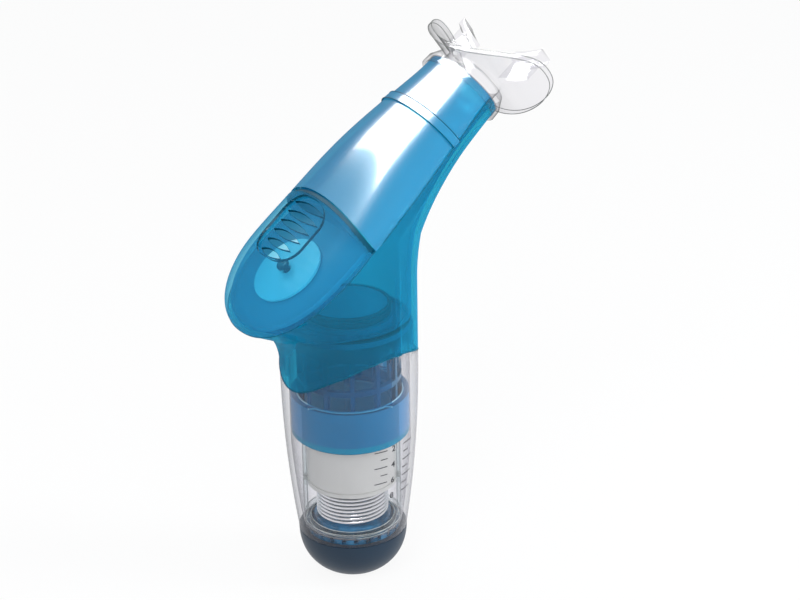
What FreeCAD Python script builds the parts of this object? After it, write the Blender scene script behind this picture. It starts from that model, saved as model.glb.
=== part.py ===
import FreeCAD, Part
import math
import os

from FreeCAD import Vector

# Inspiratory muscle trainer, in millimetres.
# Z is the barrel's axis, the origin is the centre of the flat base, the mouth end leans to +X,
# the vented bulb faces -X, and the XZ plane is the plane of symmetry.

# Joins and fits that many pieces share
ROOT = 0.5                  # a web, rib or ring runs this far into the wall that carries it
THREE_ARMS = (0, 120, 240)  # turns of the arms that carry a hub
FIT_GAP = 0.05              # gap round a piece that is pressed or screwed on

# Head: lengths along its axis are counted from the point where it crosses the barrel's axis
HEAD_ANGLE = 36.0           # head axis above the horizontal
HEAD_HEIGHT = 140.2         # height of the crossing point, which lies in the parting plane
BULB_START = -20.0          # widest station of the bulb
BULB_LENGTH = 34.5          # from the widest station to the tip
BULB_HALF_WIDTH = 26.3
BULB_ROUNDNESS = 2.3        # exponent of the rim's rounded end
BULB_CROWN = 15.5           # height of the crown above the parting plane
CROWN_SWELL = 2.9           # extra height half way up the neck
NECK_END = 64.0
NECK_HALF_WIDTH = 15.8
NECK_CROWN = 14.8
NECK_DEPTH = 12.8           # depth of the neck below the parting plane
NECK_END_SLOPE = 0.9        # how steadily the width still falls at the neck's end
WALL = 2.2                  # moulded housing wall

# Column of the rear housing, and its bends into the bulb and into the neck
COLUMN_RADIUS = 25.0
COLUMN_BOTTOM = 70.0
FRONT_BEND_HEIGHT = 86.5
FRONT_BEND_RADIUS = 20.0
REAR_BEND_RADIUS = 50.0
FRONT_BEND_TURN = 60.0
FRONT_BEND_TOP = 119.4      # height of the section that reaches the front bend's end
FRONT_BEND_STEPS = 8        # straight strips that make up each bend
LOWER_RIM_STEPS = 4
REAR_BEND_STEPS = 8
SKIRT_WALL = 1.6            # thinner wall where the skirt laps over the barrel
SKIRT_TOP = 99.4
SKIRT_FRONT = 78.0          # heights of the skirt's curved lower edge
SKIRT_SIDE = 94.4
SKIRT_REAR = 84.0
SKIRT_OVERRUN = 1.6         # the edge's arc runs past the column by this much
SHOULDER_THICKNESS = 1.8
HOLLOW_RISE = 1.0           # the hollow runs past the parting plane by this much
SHOULDER_RADIUS = 20.6      # opening in the shoulder, over the inhale poppet
FLANGE_SINK = 0.2           # the seat's flange reaches this far into the skirt's wider bore

# Covers
SEAM_GAP = 0.3
BAND_START = 41.0           # raised band round the neck
BAND_LENGTH = 3.4
BAND_HEIGHT = 0.6
SEAM_MIDDLE = -2.2          # arched seam between the front cover and the vent cover
SEAM_SIDE = -7.0
SEAM_OVERRUN = 4.0          # the seam's arc runs this far past the widest rim
SEAM_GROOVE = 1.5
SEAM_GROOVE_DEPTH = 0.9
RECESS_DEPTH = 1.1
RECESS_TOP = -4.6
RECESS_BOTTOM = -30.6
RECESS_HALF_WIDTH = 11.5
RECESS_CORNER = 8.6         # radius of the recess's two lower corners
SLOT_COUNT = 6
SLOT_FIRST = -8.0
SLOT_PITCH = 4.1
SLOT_LONG = 18.6            # longest and shortest slot
SLOT_SHORT = 12.0
SLOT_WIDTH = 2.7

# Exhale valve, at right angles to the parting plane
FLAP_STATION = -28.0
FLAP_RADIUS = 13.4
FLAP_THICKNESS = 0.8
FLAP_LIFT = 2.0
FLAP_CLEARANCE = 0.3        # over the seat at rest, and under the stud's head when lifted
FLAP_BORE = 1.6
FLAP_LAP = 1.0              # the flap's rim stands out past its seat by this much
FLAP_SEAT_HEIGHT = 0.6
DECK_THICKNESS = 1.8
DECK_CLEARANCE = 0.25
EXHALE_BORE = 10.6
EXHALE_HUB = 3.4
EXHALE_SPOKES = 6
SPOKE_WIDTH = 1.4
STUD_BORE = 1.3
STUD_HEAD = 2.3
STUD_HEAD_THICKNESS = 1.4
STUD_ROUNDING = 0.9
STUD_FOOT = 1.9
STUD_FOOT_THICKNESS = 1.2

# Barrel and knob
KNOB_TOP = 17.7
BARREL_GAP = 0.3
BARREL_LOW_RADIUS = 20.0
BARREL_TAPER_TOP = 88.0
BARREL_TAPER_POWER = 2.1
BARREL_WALL = 1.9
BARREL_BORE = 22.0
TONGUE_CLEARANCE = 0.25
BEAD_HEIGHT = 1.9
BEAD_CLEARANCE = 0.4
BEAD_SLOPE = 0.25           # height over which the bead blends into the bore
BORE_LEAD = 4.0             # the bore is at its full width from this far under the cup
KNOB_ROUNDNESS = 2.2
KNOB_POLE_DROP = 1.1
KNOB_WALL = 2.2
KNOB_FLOOR = 4.6
KNOB_LEDGE = 1.4            # ledge on which the air grille sits
KNOB_VENTS = 6              # air holes through the flat foot
KNOB_VENT_RADIUS = 1.3
KNOB_VENT_RING = 4.6

# Air grille and drive fork, which turn with the knob
GRILLE_RADIUS = 17.3
GRILLE_WALL = 1.2
GRILLE_FLOOR = 15.6
GRILLE_FLOOR_THICKNESS = 1.4
GRILLE_CLEARANCE = 0.2
GRILLE_HOLE = 1.25
GRILLE_RINGS = ((3.6, 6), (7.2, 12), (10.8, 18), (13.8, 22))    # radius and number of holes
GRILLE_SLOTS = 24
GRILLE_SLOT_WIDTH = 1.6
GRILLE_SLOT_START = 0.1     # above the knob's edge
GRILLE_RIM = 0.5            # plain rim above the slots
FORK_TOP_OF_RING = 22.0
FORK_RING = 1.8
FORK_INNER = 16.8
FORK_OUTER = 18.1
FORK_LIP = 0.6              # the ring stands this far inside the grille's wall
LEG_ANGLES = (147.0, 327.0)
LEG_WIDTH = 7.2
LUG_WIDTH = 2.0
LUG_CLEARANCE = 0.35
LUG_TIP_CLEARANCE = 0.3
LUG_SLOT_START = 2.0        # the slots start this far under the sleeve at its lowest
LEG_CLEARANCE = 0.5

# Load sleeve, its screw collar and its scale
SLEEVE_RADIUS = 16.3
SLEEVE_WALL = 1.3
SLEEVE_BOTTOM = 36.5
SLEEVE_RIM = 1.6
SLEEVE_RIM_PROUD = 0.35
LEVELS = 8
LEVEL_PITCH = 3.3
SCREW_CLEARANCE = 0.15
COLLAR_HEIGHT = 3.0
END_CLEARANCE = 0.4
SLEEVE_FLANGE = 2.0
SLEEVE_FLANGE_BORE = 6.5
CUP_RADIUS = 21.6
CUP_WALL = 1.7
CUP_BOTTOM = 56.8
CUP_RIM = 73.0              # height of the rim inside the cup, which is the windows' lower edge
CUP_RIM_WIDTH = 2.4
CUP_RIM_DEPTH = 1.6
CUP_WINDOW_TOP = 94.0
CUP_WINDOWS = (-33.0, 147.0)
CUP_WINDOW_WIDTH = 31.0
CUP_CHAMFER = 0.8

# Load spring
WIRE = 1.2
SPRING_PITCH = 1.53
SPRING_COILS = 16
SPRING_OUTER = 13.3
SPRING_SEAT_HEIGHT = 22.6
SPRING_GAP = 0.1
WASHER_THICKNESS = 1.0
WASHER_MARGIN = 0.4         # outside the spring
WASHER_LIP = 2.0            # inside the spring
RETAINER_THICKNESS = 1.8
RETAINER_RADIUS = 14.2
RETAINER_BORE = 9.4
RETAINER_ARM = 3.0
RETAINER_HUB = 5.0
RETAINER_HUB_RISE = 2.4
RETAINER_LIP = 1.6          # height of the rim that centres the spring
RETAINER_LIP_GAP = 0.4

# Inhale valve
STEM_RADIUS = 2.0
STEM_CLEARANCE = 0.1
STEM_CHAMFER = 0.5
STEM_IN_POPPET = 1.5        # how far the stem reaches above the seat's top
STEM_SHORT_OF_NUT = 0.3
FLANGE_THICKNESS = 2.1
FLANGE_CLEARANCE = 0.3
SEAT_BORE = 12.6
SEAT_RING_WALL = 3.6
SEAT_RING_HEIGHT = 2.1
SEAT_SKIRT_RADIUS = 19.4
SEAT_SKIRT_WALL = 1.8
SEAT_SKIRT_HEIGHT = 4.5
O_RING_SECTION = 1.25
O_RING_RADIUS = 14.4
POPPET_PLATE = 1.5
POPPET_RIM = 0.6            # the plate stands out past the O-ring's centre line by this much
POPPET_EDGE_DROP = 0.3
POPPET_CROWN = 1.8
POPPET_HUB = 4.2
POPPET_BORE_CLEARANCE = 0.02
POPPET_GROOVE_DROP = 0.4    # bottom of the O-ring's groove above the seat
POPPET_SKIRT_CLEARANCE = 0.5
POPPET_SKIRT_WALL = 1.4
POPPET_SKIRT_END = 0.4      # the skirt ends this far above the flange's underside
GASKET_THICKNESS = 0.6
CAGE_RADIUS = 18.9
CAGE_WALL = 1.9
CAGE_RIBS = 12
CAGE_RIB_WIDTH = 1.5
CAGE_RING_HEIGHT = 79.6
CAGE_RING_DEPTH = 2.0
CAGE_TOP_RING = 2.6
CAGE_FOOT_RING = 1.2
GUIDE_HUB = 4.4
GUIDE_ARM = 2.4
GUIDE_RING = 2.0
GUIDE_THICKNESS = 2.0
GUIDE_BOSS = 1.2            # the hub hangs this far under the arms
GUIDE_CLEARANCE = 0.1
NUT_ACROSS_FLATS = 7.0
NUT_THICKNESS = 2.6

# Mouthpiece
COLLAR_START = 61.0
COLLAR_WALL = 1.4
COLLAR_FIT = 0.3
COLLAR_LIP = 1.0            # length of the collar's rounded front edge
COLLAR_LIP_DROP = 0.6
THROAT_DRAW = 0.8           # the throat is drawn in by this much at the shield
THROAT_WALL = 3.4
SHIELD_STATION = 67.5
SHIELD_THICKNESS = 1.8
SHIELD_HALF_WIDTH = 30.0
SHIELD_HALF_HEIGHT = 17.5
SHIELD_ROUNDNESS = 2.4      # exponent of the shield's outline, where 2 is an ellipse
SHIELD_SWEEP = 13.0         # the shield's sides curve back towards the face by this much
BITE_INNER = 13.0           # sideways, from the middle to the lug's inner and outer ends
BITE_OUTER = 23.0
BITE_LENGTH = 9.0           # from the shield to the ridge
BITE_THICKNESS = 2.6
BITE_RIDGE = 3.0
BITE_RIDGE_HEIGHT = 6.4

# Values worked out from the ones above
ANGLE = math.radians(HEAD_ANGLE)
ALONG = Vector(math.cos(ANGLE), 0, math.sin(ANGLE))
CROWNWARD = Vector(-math.sin(ANGLE), 0, math.cos(ANGLE))
ACROSS = Vector(0, 1, 0)
CROSSING = Vector(0, 0, HEAD_HEIGHT)
BULB_TIP = BULB_START - BULB_LENGTH
FAR = 200.0
FLANGE_BOTTOM = SKIRT_TOP - FLANGE_SINK
FLANGE_TOP = FLANGE_BOTTOM + FLANGE_THICKNESS
SHOULDER_BOTTOM = FLANGE_TOP + GASKET_THICKNESS
SEAT_TOP = FLANGE_TOP + SEAT_RING_HEIGHT
SKIRT_BORE = COLUMN_RADIUS - SKIRT_WALL
COLLAR_BOTTOM = SLEEVE_BOTTOM + SLEEVE_RIM + LEVELS * LEVEL_PITCH + END_CLEARANCE
COLLAR_TOP = COLLAR_BOTTOM + COLLAR_HEIGHT
SLEEVE_TOP = COLLAR_TOP + END_CLEARANCE
SPRING_TOP = SPRING_SEAT_HEIGHT + SPRING_GAP + SPRING_COILS * SPRING_PITCH + WIRE
WASHER_BOTTOM = SPRING_TOP + SPRING_GAP
WASHER_TOP = WASHER_BOTTOM + WASHER_THICKNESS
SPRING_RADIUS = SPRING_OUTER - WIRE / 2
BARREL_BOTTOM = KNOB_TOP + BARREL_GAP
FORK_RING_BOTTOM = FORK_TOP_OF_RING - FORK_RING
LEG_TOP = COLLAR_BOTTOM - LEG_CLEARANCE
GRILLE_BOTTOM = GRILLE_FLOOR - GRILLE_FLOOR_THICKNESS
GRILLE_BORE = GRILLE_RADIUS - GRILLE_WALL
STEM_TOP = SEAT_TOP + STEM_IN_POPPET
RETAINER_BOTTOM = SPRING_SEAT_HEIGHT - RETAINER_THICKNESS
CAGE_TOP = FLANGE_BOTTOM - SEAT_SKIRT_HEIGHT
FLANGE_RADIUS = COLUMN_RADIUS - WALL - FLANGE_CLEARANCE
FLAP_SEAT_TOP = DECK_THICKNESS + FLAP_SEAT_HEIGHT
FLAP_BOTTOM = FLAP_SEAT_TOP + FLAP_CLEARANCE
FLAP_TOP = FLAP_BOTTOM + FLAP_THICKNESS


def head(s, y, n):
    """Point at station s along the head, y across and n above the parting plane."""
    return CROSSING + ALONG * s + ACROSS * y + CROWNWARD * n


def head_placement():
    """Placement whose X, Y and Z run along the head, across it and towards the crown."""
    rotation = FreeCAD.Rotation(ALONG, ACROSS, CROWNWARD, "XYZ")
    return FreeCAD.Placement(CROSSING, rotation)


def in_head(shape):
    """Moves a shape that was drawn in the head's own axes to its place."""
    moved = shape.copy()
    moved.Placement = head_placement().multiply(moved.Placement)
    return moved


def head_slab(s0, s1, n0, n1, half=FAR):
    """Block between two stations and two heights, wide enough to cut the whole head."""
    return in_head(Part.makeBox(s1 - s0, 2 * half, n1 - n0, Vector(s0, -half, n0)))


def tube(outer, inner, z0, z1):
    """Plain ring about the barrel's axis."""
    ring = Part.makeCylinder(outer, z1 - z0, Vector(0, 0, z0))
    return ring.cut(Part.makeCylinder(inner, z1 - z0 + 2, Vector(0, 0, z0 - 1)))


def disc(radius, z0, z1):
    """Plain disc about the barrel's axis."""
    return Part.makeCylinder(radius, z1 - z0, Vector(0, 0, z0))


def arm(width, length, z0, z1, angle, start=0.0):
    """Straight bar that runs outwards from the barrel's axis at an angle."""
    bar = Part.makeBox(length - start, width, z1 - z0, Vector(start, -width / 2, z0))
    bar.rotate(Vector(), Vector(0, 0, 1), angle)
    return bar


def fuse(pieces):
    """One solid from pieces that touch or overlap."""
    whole = pieces[0].multiFuse(pieces[1:])
    return whole.removeSplitter()


def ring_points(radius, count, z=0.0):
    """Evenly spaced points on a circle about the barrel's axis."""
    turns = [2 * math.pi * i / count for i in range(count)]
    return [Vector(radius * math.cos(a), radius * math.sin(a), z) for a in turns]


def spline_edge(points, first=None, last=None):
    """Smooth edge through points, with its end tangents where they are given."""
    curve = Part.BSplineCurve()
    if first is None:
        curve.interpolate(Points=points)
    else:
        curve.interpolate(Points=points, InitialTangent=first, FinalTangent=last)
    return curve.toShape()


def polyline(points):
    """Straight edges from each point to the next."""
    return [Part.makeLine(a, b) for a, b in zip(points, points[1:])]


def revolve(edges):
    """Solid of a closed profile in the XZ plane, turned about the barrel's axis."""
    return Part.Face(Part.Wire(edges)).revolve(Vector(), Vector(0, 0, 1), 360)


def loft(sections, ruled=False):
    """Closed solid through sections, smooth or in straight strips, with its faces outwards."""
    solid = Part.makeLoft(sections, True, ruled)
    if solid.Volume < 0:
        solid.reverse()
    return solid


def rounded_end(fraction, power):
    """Height of a rounded end, from 1 at its widest station to 0 at its tip."""
    return max(0.0, 1.0 - abs(fraction) ** power) ** (1.0 / power)


def half_width(s, inset=0.0):
    """Half width of the head's rim at station s, drawn in by inset."""
    widest = BULB_HALF_WIDTH - inset
    if s < BULB_START:
        return widest * rounded_end((s - BULB_START) / (BULB_LENGTH - inset), BULB_ROUNDNESS)
    t = (s - BULB_START) / (NECK_END - BULB_START)
    taper = (3 - NECK_END_SLOPE) * t ** 2 + (NECK_END_SLOPE - 2) * t ** 3
    return widest + (NECK_HALF_WIDTH - BULB_HALF_WIDTH) * taper


def crown_height(s, inset=0.0):
    """Height of the crown above the parting plane at station s."""
    highest = BULB_CROWN - inset
    if s < BULB_START:
        return highest * rounded_end((s - BULB_START) / (BULB_LENGTH - inset), 2.0)
    t = (s - BULB_START) / (NECK_END - BULB_START)
    return highest + CROWN_SWELL * math.sin(math.pi * t) ** 2 + (NECK_CROWN - BULB_CROWN) * t ** 2


def half_oval(s, width, height):
    """Closed half oval across the head, standing on the parting plane."""
    centre = head(s, 0, 0)
    oval = Part.Ellipse(centre + ACROSS * width, centre + CROWNWARD * height, centre)
    arch = Part.Arc(oval, 0, math.pi).toShape()
    base = Part.makeLine(centre - ACROSS * width, centre + ACROSS * width)
    return Part.Wire([arch, base])


def crown(inset=0.0, end=NECK_END):
    """Upper half of the head as a closed solid, drawn in by inset."""
    turns = (12, 26, 42, 58, 74)
    bulb = [BULB_START - (BULB_LENGTH - inset) * math.cos(math.radians(a)) for a in turns]
    neck = [BULB_START] + spread(BULB_START, end, 6)
    sections = [half_oval(s, half_width(s, inset), crown_height(s, inset)) for s in bulb + neck]
    return loft([Part.Vertex(head(BULB_TIP + inset, 0, 0))] + sections)


def u_section(centre, outward, depth, width_at):
    """Closed U: a smooth bow of the given depth, with a straight line across its open side."""
    steps = 6
    angles = [math.pi / 2 - math.pi * i / (2 * steps) for i in range(2 * steps + 1)]
    bow = [centre + outward * (depth * math.cos(a)) + ACROSS * width_at(a) for a in angles]
    return Part.Wire([spline_edge(bow, outward, outward * -1), Part.makeLine(bow[-1], bow[0])])


def bend_share(z):
    """How far the column has opened into the bulb at height z, from 0 to 1."""
    return min(1.0, max(0.0, (z - FRONT_BEND_HEIGHT) / (HEAD_HEIGHT - FRONT_BEND_HEIGHT)))


def spread(start, end, steps):
    """Evenly spaced values after start, up to and with end."""
    return [start + (end - start) * i / steps for i in range(1, steps + 1)]


def axis_heights(inset, rise):
    """Heights on the barrel's axis where the sections of both halves meet."""
    top = HEAD_HEIGHT + rise / CROWNWARD.z
    bend = spread(FRONT_BEND_HEIGHT, FRONT_BEND_TOP, FRONT_BEND_STEPS)
    rim = spread(FRONT_BEND_TOP, top, LOWER_RIM_STEPS)
    return [COLUMN_BOTTOM - inset, FRONT_BEND_HEIGHT] + bend + rim


def front_half(inset, rise):
    """Front of the column, which flares out into the bulb's rim."""
    tip = head(BULB_TIP + inset, 0, rise)
    radius = COLUMN_RADIUS - inset
    bend = FRONT_BEND_RADIUS + inset
    top = HEAD_HEIGHT + rise / CROWNWARD.z
    wires = []
    for z in axis_heights(inset, rise):
        turn = (z - FRONT_BEND_HEIGHT) / (FRONT_BEND_TOP - FRONT_BEND_HEIGHT)
        a = math.radians(FRONT_BEND_TURN * min(1.0, max(0.0, turn)))
        front = Vector(-radius - bend * (1 - math.cos(a)), 0, FRONT_BEND_HEIGHT + bend * math.sin(a))
        if z < FRONT_BEND_HEIGHT:
            front.z = z
        if z > FRONT_BEND_TOP:
            front += (tip - front) * ((z - FRONT_BEND_TOP) / (top - FRONT_BEND_TOP))
        share = bend_share(z)
        reach = front - Vector(0, 0, z)

        def width_at(angle, share=share):
            rim = half_width((BULB_TIP + inset) * math.cos(angle), inset) * (1 if angle >= 0 else -1)
            return (1 - share) * radius * math.sin(angle) + share * rim

        wires.append(u_section(Vector(0, 0, z), reach / reach.Length, reach.Length, width_at))
    return loft(wires, True)


def rear_half(inset, rise):
    """Rear of the column, which bends back into the underside of the neck."""
    radius = COLUMN_RADIUS - inset
    rim_width = half_width(0, inset)
    bend_x = COLUMN_RADIUS + REAR_BEND_RADIUS
    drop = NECK_DEPTH + REAR_BEND_RADIUS + bend_x * CROWNWARD.x
    bend_z = HEAD_HEIGHT - drop / CROWNWARD.z
    pivot = Vector(bend_x, 0, bend_z)
    rim_point = head(0, 0, rise)
    wires = []

    def add(centre, rearward, reach, width):
        wires.append(u_section(centre, rearward, reach, lambda a: width * math.sin(a)))

    turn = 0.0
    for z in axis_heights(inset, rise):
        turn = max(0.0, math.atan2(z - bend_z, bend_x))
        rearward = Vector(math.cos(turn), 0, -math.sin(turn))
        reach = bend_x / math.cos(turn) - REAR_BEND_RADIUS - inset
        add(Vector(0, 0, z), rearward, reach, radius + (rim_width - radius) * bend_share(z))
    for turn in spread(turn, math.radians(90 - HEAD_ANGLE), REAR_BEND_STEPS):
        rearward = Vector(math.cos(turn), 0, -math.sin(turn))
        distance = (pivot - rim_point).dot(CROWNWARD) / rearward.dot(CROWNWARD)
        centre = pivot - rearward * distance
        station = (centre - CROSSING).dot(ALONG)
        add(centre, rearward, distance - REAR_BEND_RADIUS - inset, half_width(station, inset))
    last = (pivot - CROSSING).dot(ALONG)
    for s in spread(last, NECK_END + (1 if inset else 0), 2):
        width = half_width(min(s, NECK_END), inset)
        add(head(s, 0, rise), CROWNWARD * -1, NECK_DEPTH - inset + rise, width)
    return loft(wires, True)


def lower_body(inset=0.0, rise=0.0):
    """Column and lower half of the head, closed: drawn in by inset, its top raised by rise."""
    return front_half(inset, rise).fuse(rear_half(inset, rise))


def below_skirt_edge(lower_by=0.0):
    """Everything under the skirt's curved lower edge, which is a saddle cut along Y."""
    r = COLUMN_RADIUS + SKIRT_OVERRUN
    left = Vector(-r, -FAR / 2, SKIRT_FRONT - SKIRT_OVERRUN / 2 - lower_by)
    top = Vector(0, -FAR / 2, SKIRT_SIDE - lower_by)
    right = Vector(r, -FAR / 2, SKIRT_REAR - SKIRT_OVERRUN / 2 - lower_by)
    arch = Part.Arc(left, top, right).toShape()
    far_left = Vector(-FAR / 2, -FAR / 2, left.z)
    far_right = Vector(FAR / 2, -FAR / 2, right.z)
    low_left = Vector(-FAR / 2, -FAR / 2, -1)
    low_right = Vector(FAR / 2, -FAR / 2, -1)
    corners = [right, far_right, low_right, low_left, far_left, left]
    wire = Part.Wire([arch] + polyline(corners))
    return Part.Face(wire).extrude(Vector(0, FAR, 0))


def make_rear_housing():
    """Rear shell: column, undersides of the bulb and the neck, and a shoulder over the seat.

    It takes the most skill: an upright round column opens into a leaning oval bulb in front and
    bends back into the neck behind, while its wall stays even.
    """
    shell = lower_body().cut(lower_body(WALL, HOLLOW_RISE))
    shell = shell.cut(disc(SKIRT_BORE, 0, SKIRT_TOP))
    shell = shell.cut(below_skirt_edge())
    level = Part.makeBox(FAR, FAR, SHOULDER_THICKNESS, Vector(-FAR / 2, -FAR / 2, SHOULDER_BOTTOM))
    shoulder = lower_body(WALL / 2).common(level).cut(disc(SHOULDER_RADIUS, 0, FAR))
    return shell.fuse(shoulder)


def seam_region(shift=0.0):
    """Everything on the bulb's side of the arched seam, which is moved towards the neck by shift."""
    y = BULB_HALF_WIDTH + SEAM_OVERRUN
    left = Vector(SEAM_SIDE + shift, -y, -1)
    top = Vector(SEAM_MIDDLE + shift, 0, -1)
    right = Vector(SEAM_SIDE + shift, y, -1)
    arch = Part.Arc(left, top, right).toShape()
    corner_a = Vector(-FAR, y, -1)
    corner_b = Vector(-FAR, -y, -1)
    lines = polyline([right, corner_a, corner_b, left])
    return in_head(Part.Face(Part.Wire([arch] + lines)).extrude(Vector(0, 0, FAR)))


def make_front_cover(shell):
    """Upper shell of the neck, with its raised band."""
    cover = shell.cut(seam_region(SEAM_GAP / 2))
    band_zone = head_slab(BAND_START, BAND_START + BAND_LENGTH, 0, FAR)
    band = crown(-BAND_HEIGHT).cut(crown(WALL / 2)).common(band_zone)
    return cover.fuse(band)


def lens(s, length, width):
    """Lens-shaped cutter across the head at station s."""
    a = Vector(s, -length / 2, 0)
    b = Vector(s, length / 2, 0)
    upper = Part.Arc(a, Vector(s + width / 2, 0, 0), b).toShape()
    lower = Part.Arc(b, Vector(s - width / 2, 0, 0), a).toShape()
    return in_head(Part.Face(Part.Wire([upper, lower])).extrude(Vector(0, 0, FAR)))


def vent_recess():
    """Shallow recess round the vent slots, with its lower corners rounded."""
    length = RECESS_TOP - RECESS_BOTTOM
    corner = Vector(RECESS_BOTTOM, -RECESS_HALF_WIDTH, DECK_THICKNESS)
    block = Part.makeBox(length, 2 * RECESS_HALF_WIDTH, FAR, corner)
    low = [e for e in block.Edges if e.BoundBox.ZLength > length and e.BoundBox.XMax < RECESS_TOP]
    return in_head(block.makeFillet(RECESS_CORNER, low))


def make_vent_cover(shell):
    """Cover of the bulb, with the seam groove, the recess and the lens-shaped exhale slots."""
    cover = shell.common(seam_region(-SEAM_GAP / 2))
    groove = seam_region(1).cut(seam_region(-SEAM_GAP / 2 - SEAM_GROOVE))
    cover = cover.cut(groove.cut(crown(SEAM_GROOVE_DEPTH)))
    cover = cover.cut(vent_recess().cut(crown(RECESS_DEPTH)))
    for i in range(SLOT_COUNT):
        share = i / (SLOT_COUNT - 1)
        length = SLOT_LONG + (SLOT_SHORT - SLOT_LONG) * share ** 2
        cover = cover.cut(lens(SLOT_FIRST - SLOT_PITCH * i, length, SLOT_WIDTH))
    return cover


def head_disc(radius, n0, n1, s=FLAP_STATION):
    """Disc parallel to the parting plane, centred over the exhale valve."""
    return in_head(Part.makeCylinder(radius, n1 - n0, Vector(s, 0, n0)))


def make_exhale_deck():
    """Plate across the bulb that carries the exhale valve, with its spokes and its end wall."""
    inset = WALL + DECK_CLEARANCE
    room = crown(inset)
    region = seam_region(-2 * SEAM_GAP)
    plate = room.common(head_slab(-FAR, FAR, 0, DECK_THICKNESS)).common(region)
    wall = room.common(region.cut(seam_region(-2 * SEAM_GAP - WALL)))
    deck = plate.fuse(wall)
    window = head_disc(EXHALE_BORE, -FAR, FAR).cut(head_disc(EXHALE_HUB, -FAR, FAR))
    for i in range(EXHALE_SPOKES):
        bar = arm(SPOKE_WIDTH, EXHALE_BORE + ROOT, -FAR, FAR, 360 / EXHALE_SPOKES * i + 30)
        bar.translate(Vector(FLAP_STATION, 0, 0))
        window = window.cut(in_head(bar))
    deck = deck.cut(window.common(head_slab(-FAR, FAR, -1, FLAP_SEAT_TOP)))
    seat = head_disc(FLAP_RADIUS - FLAP_LAP, DECK_THICKNESS / 2, FLAP_SEAT_TOP)
    seat = seat.cut(head_disc(EXHALE_BORE, 0, FAR))
    hub = head_disc(EXHALE_HUB, DECK_THICKNESS / 2, FLAP_SEAT_TOP)
    deck = deck.fuse(seat).fuse(hub)
    return deck.cut(head_disc(STUD_BORE, -1, FAR))


def make_flap():
    """Silicone exhale flap."""
    return head_disc(FLAP_RADIUS, FLAP_BOTTOM, FLAP_TOP).cut(head_disc(FLAP_BORE, 0, FAR))


def make_stud():
    """Stud that holds the flap's centre, with a domed head and a barbed foot."""
    head_bottom = FLAP_TOP + FLAP_LIFT + FLAP_CLEARANCE
    neck = head_disc(STUD_BORE - FIT_GAP, -FIT_GAP - ROOT, head_bottom + ROOT)
    top = head_disc(STUD_HEAD, head_bottom, head_bottom + STUD_HEAD_THICKNESS)
    rim = [e for e in top.Edges if e.Curve.TypeId == "Part::GeomCircle"]
    rim.sort(key=lambda e: (e.Curve.Center - CROSSING).dot(CROWNWARD))
    top = top.makeFillet(STUD_ROUNDING, [rim[-1]])
    foot = head_disc(STUD_FOOT, -FIT_GAP - STUD_FOOT_THICKNESS, -FIT_GAP)
    return fuse([neck, top, foot])


def barrel_radius(z):
    """Outer radius of the clear barrel at height z."""
    share = max(0.0, (BARREL_TAPER_TOP - z) / (BARREL_TAPER_TOP - BARREL_BOTTOM))
    return COLUMN_RADIUS - (COLUMN_RADIUS - BARREL_LOW_RADIUS) * share ** BARREL_TAPER_POWER


def make_barrel():
    """Clear barrel, with a tongue that laps inside the skirt and a snap bead at its lower end."""
    heights = [BARREL_BOTTOM] + spread(BARREL_BOTTOM, BARREL_TAPER_TOP, 7)
    side = spline_edge([Vector(barrel_radius(z), 0, z) for z in heights])
    low = Vector(barrel_radius(BARREL_BOTTOM), 0, BARREL_BOTTOM)
    high = Vector(barrel_radius(BARREL_TAPER_TOP), 0, BARREL_TAPER_TOP)
    corners = [high, Vector(COLUMN_RADIUS, 0, SKIRT_TOP), Vector(0, 0, SKIRT_TOP),
               Vector(0, 0, BARREL_BOTTOM), low]
    outside = revolve([side] + polyline(corners))
    tongue = disc(SKIRT_BORE - TONGUE_CLEARANCE, 0, FLANGE_BOTTOM)
    outside = outside.common(below_skirt_edge(SEAM_GAP).fuse(tongue))
    bead_top = BARREL_BOTTOM + BEAD_HEIGHT
    bore_start = bead_top + BEAD_SLOPE
    levels = [bore_start] + spread(bore_start, CUP_BOTTOM - BORE_LEAD, 5)
    bore = [Vector(min(BARREL_BORE, barrel_radius(z) - BARREL_WALL), 0, z) for z in levels]
    bead = GRILLE_RADIUS + BEAD_CLEARANCE
    corners = [bore[-1], Vector(BARREL_BORE, 0, FAR), Vector(0, 0, FAR), Vector(), Vector(bead, 0, 0),
               Vector(bead, 0, bead_top), bore[0]]
    hollow = revolve([spline_edge(bore)] + polyline(corners))
    return outside.cut(hollow)


def knob_radius(z):
    """Outer radius of the knob at height z."""
    share = (KNOB_TOP - z) / (KNOB_TOP + KNOB_POLE_DROP)
    return BARREL_LOW_RADIUS * rounded_end(share, KNOB_ROUNDNESS)


def make_knob():
    """Cap that is turned to set the load, hollow and open to the air underneath."""
    heights = [KNOB_TOP * (1 - math.cos(a)) for a in [0] + spread(0, math.pi / 2, 6)]
    side = spline_edge([Vector(knob_radius(z), 0, z) for z in heights])
    low = Vector(knob_radius(0), 0, 0)
    high = Vector(knob_radius(KNOB_TOP), 0, KNOB_TOP)
    corners = [high, Vector(0, 0, KNOB_TOP), Vector(), low]
    body = revolve([side] + polyline(corners))
    bore = GRILLE_RADIUS + GRILLE_CLEARANCE
    body = body.cut(disc(bore, GRILLE_BOTTOM, FAR))
    low_radius = knob_radius(KNOB_FLOOR) - KNOB_WALL
    depth = GRILLE_BOTTOM - KNOB_FLOOR
    body = body.cut(Part.makeCone(low_radius, bore - KNOB_LEDGE, depth, Vector(0, 0, KNOB_FLOOR)))
    vents = ring_points(KNOB_VENT_RING, KNOB_VENTS)
    holes = [Part.makeCylinder(KNOB_VENT_RADIUS, KNOB_FLOOR + ROOT, place) for place in vents]
    return body.cut(Part.makeCompound(holes))


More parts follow.
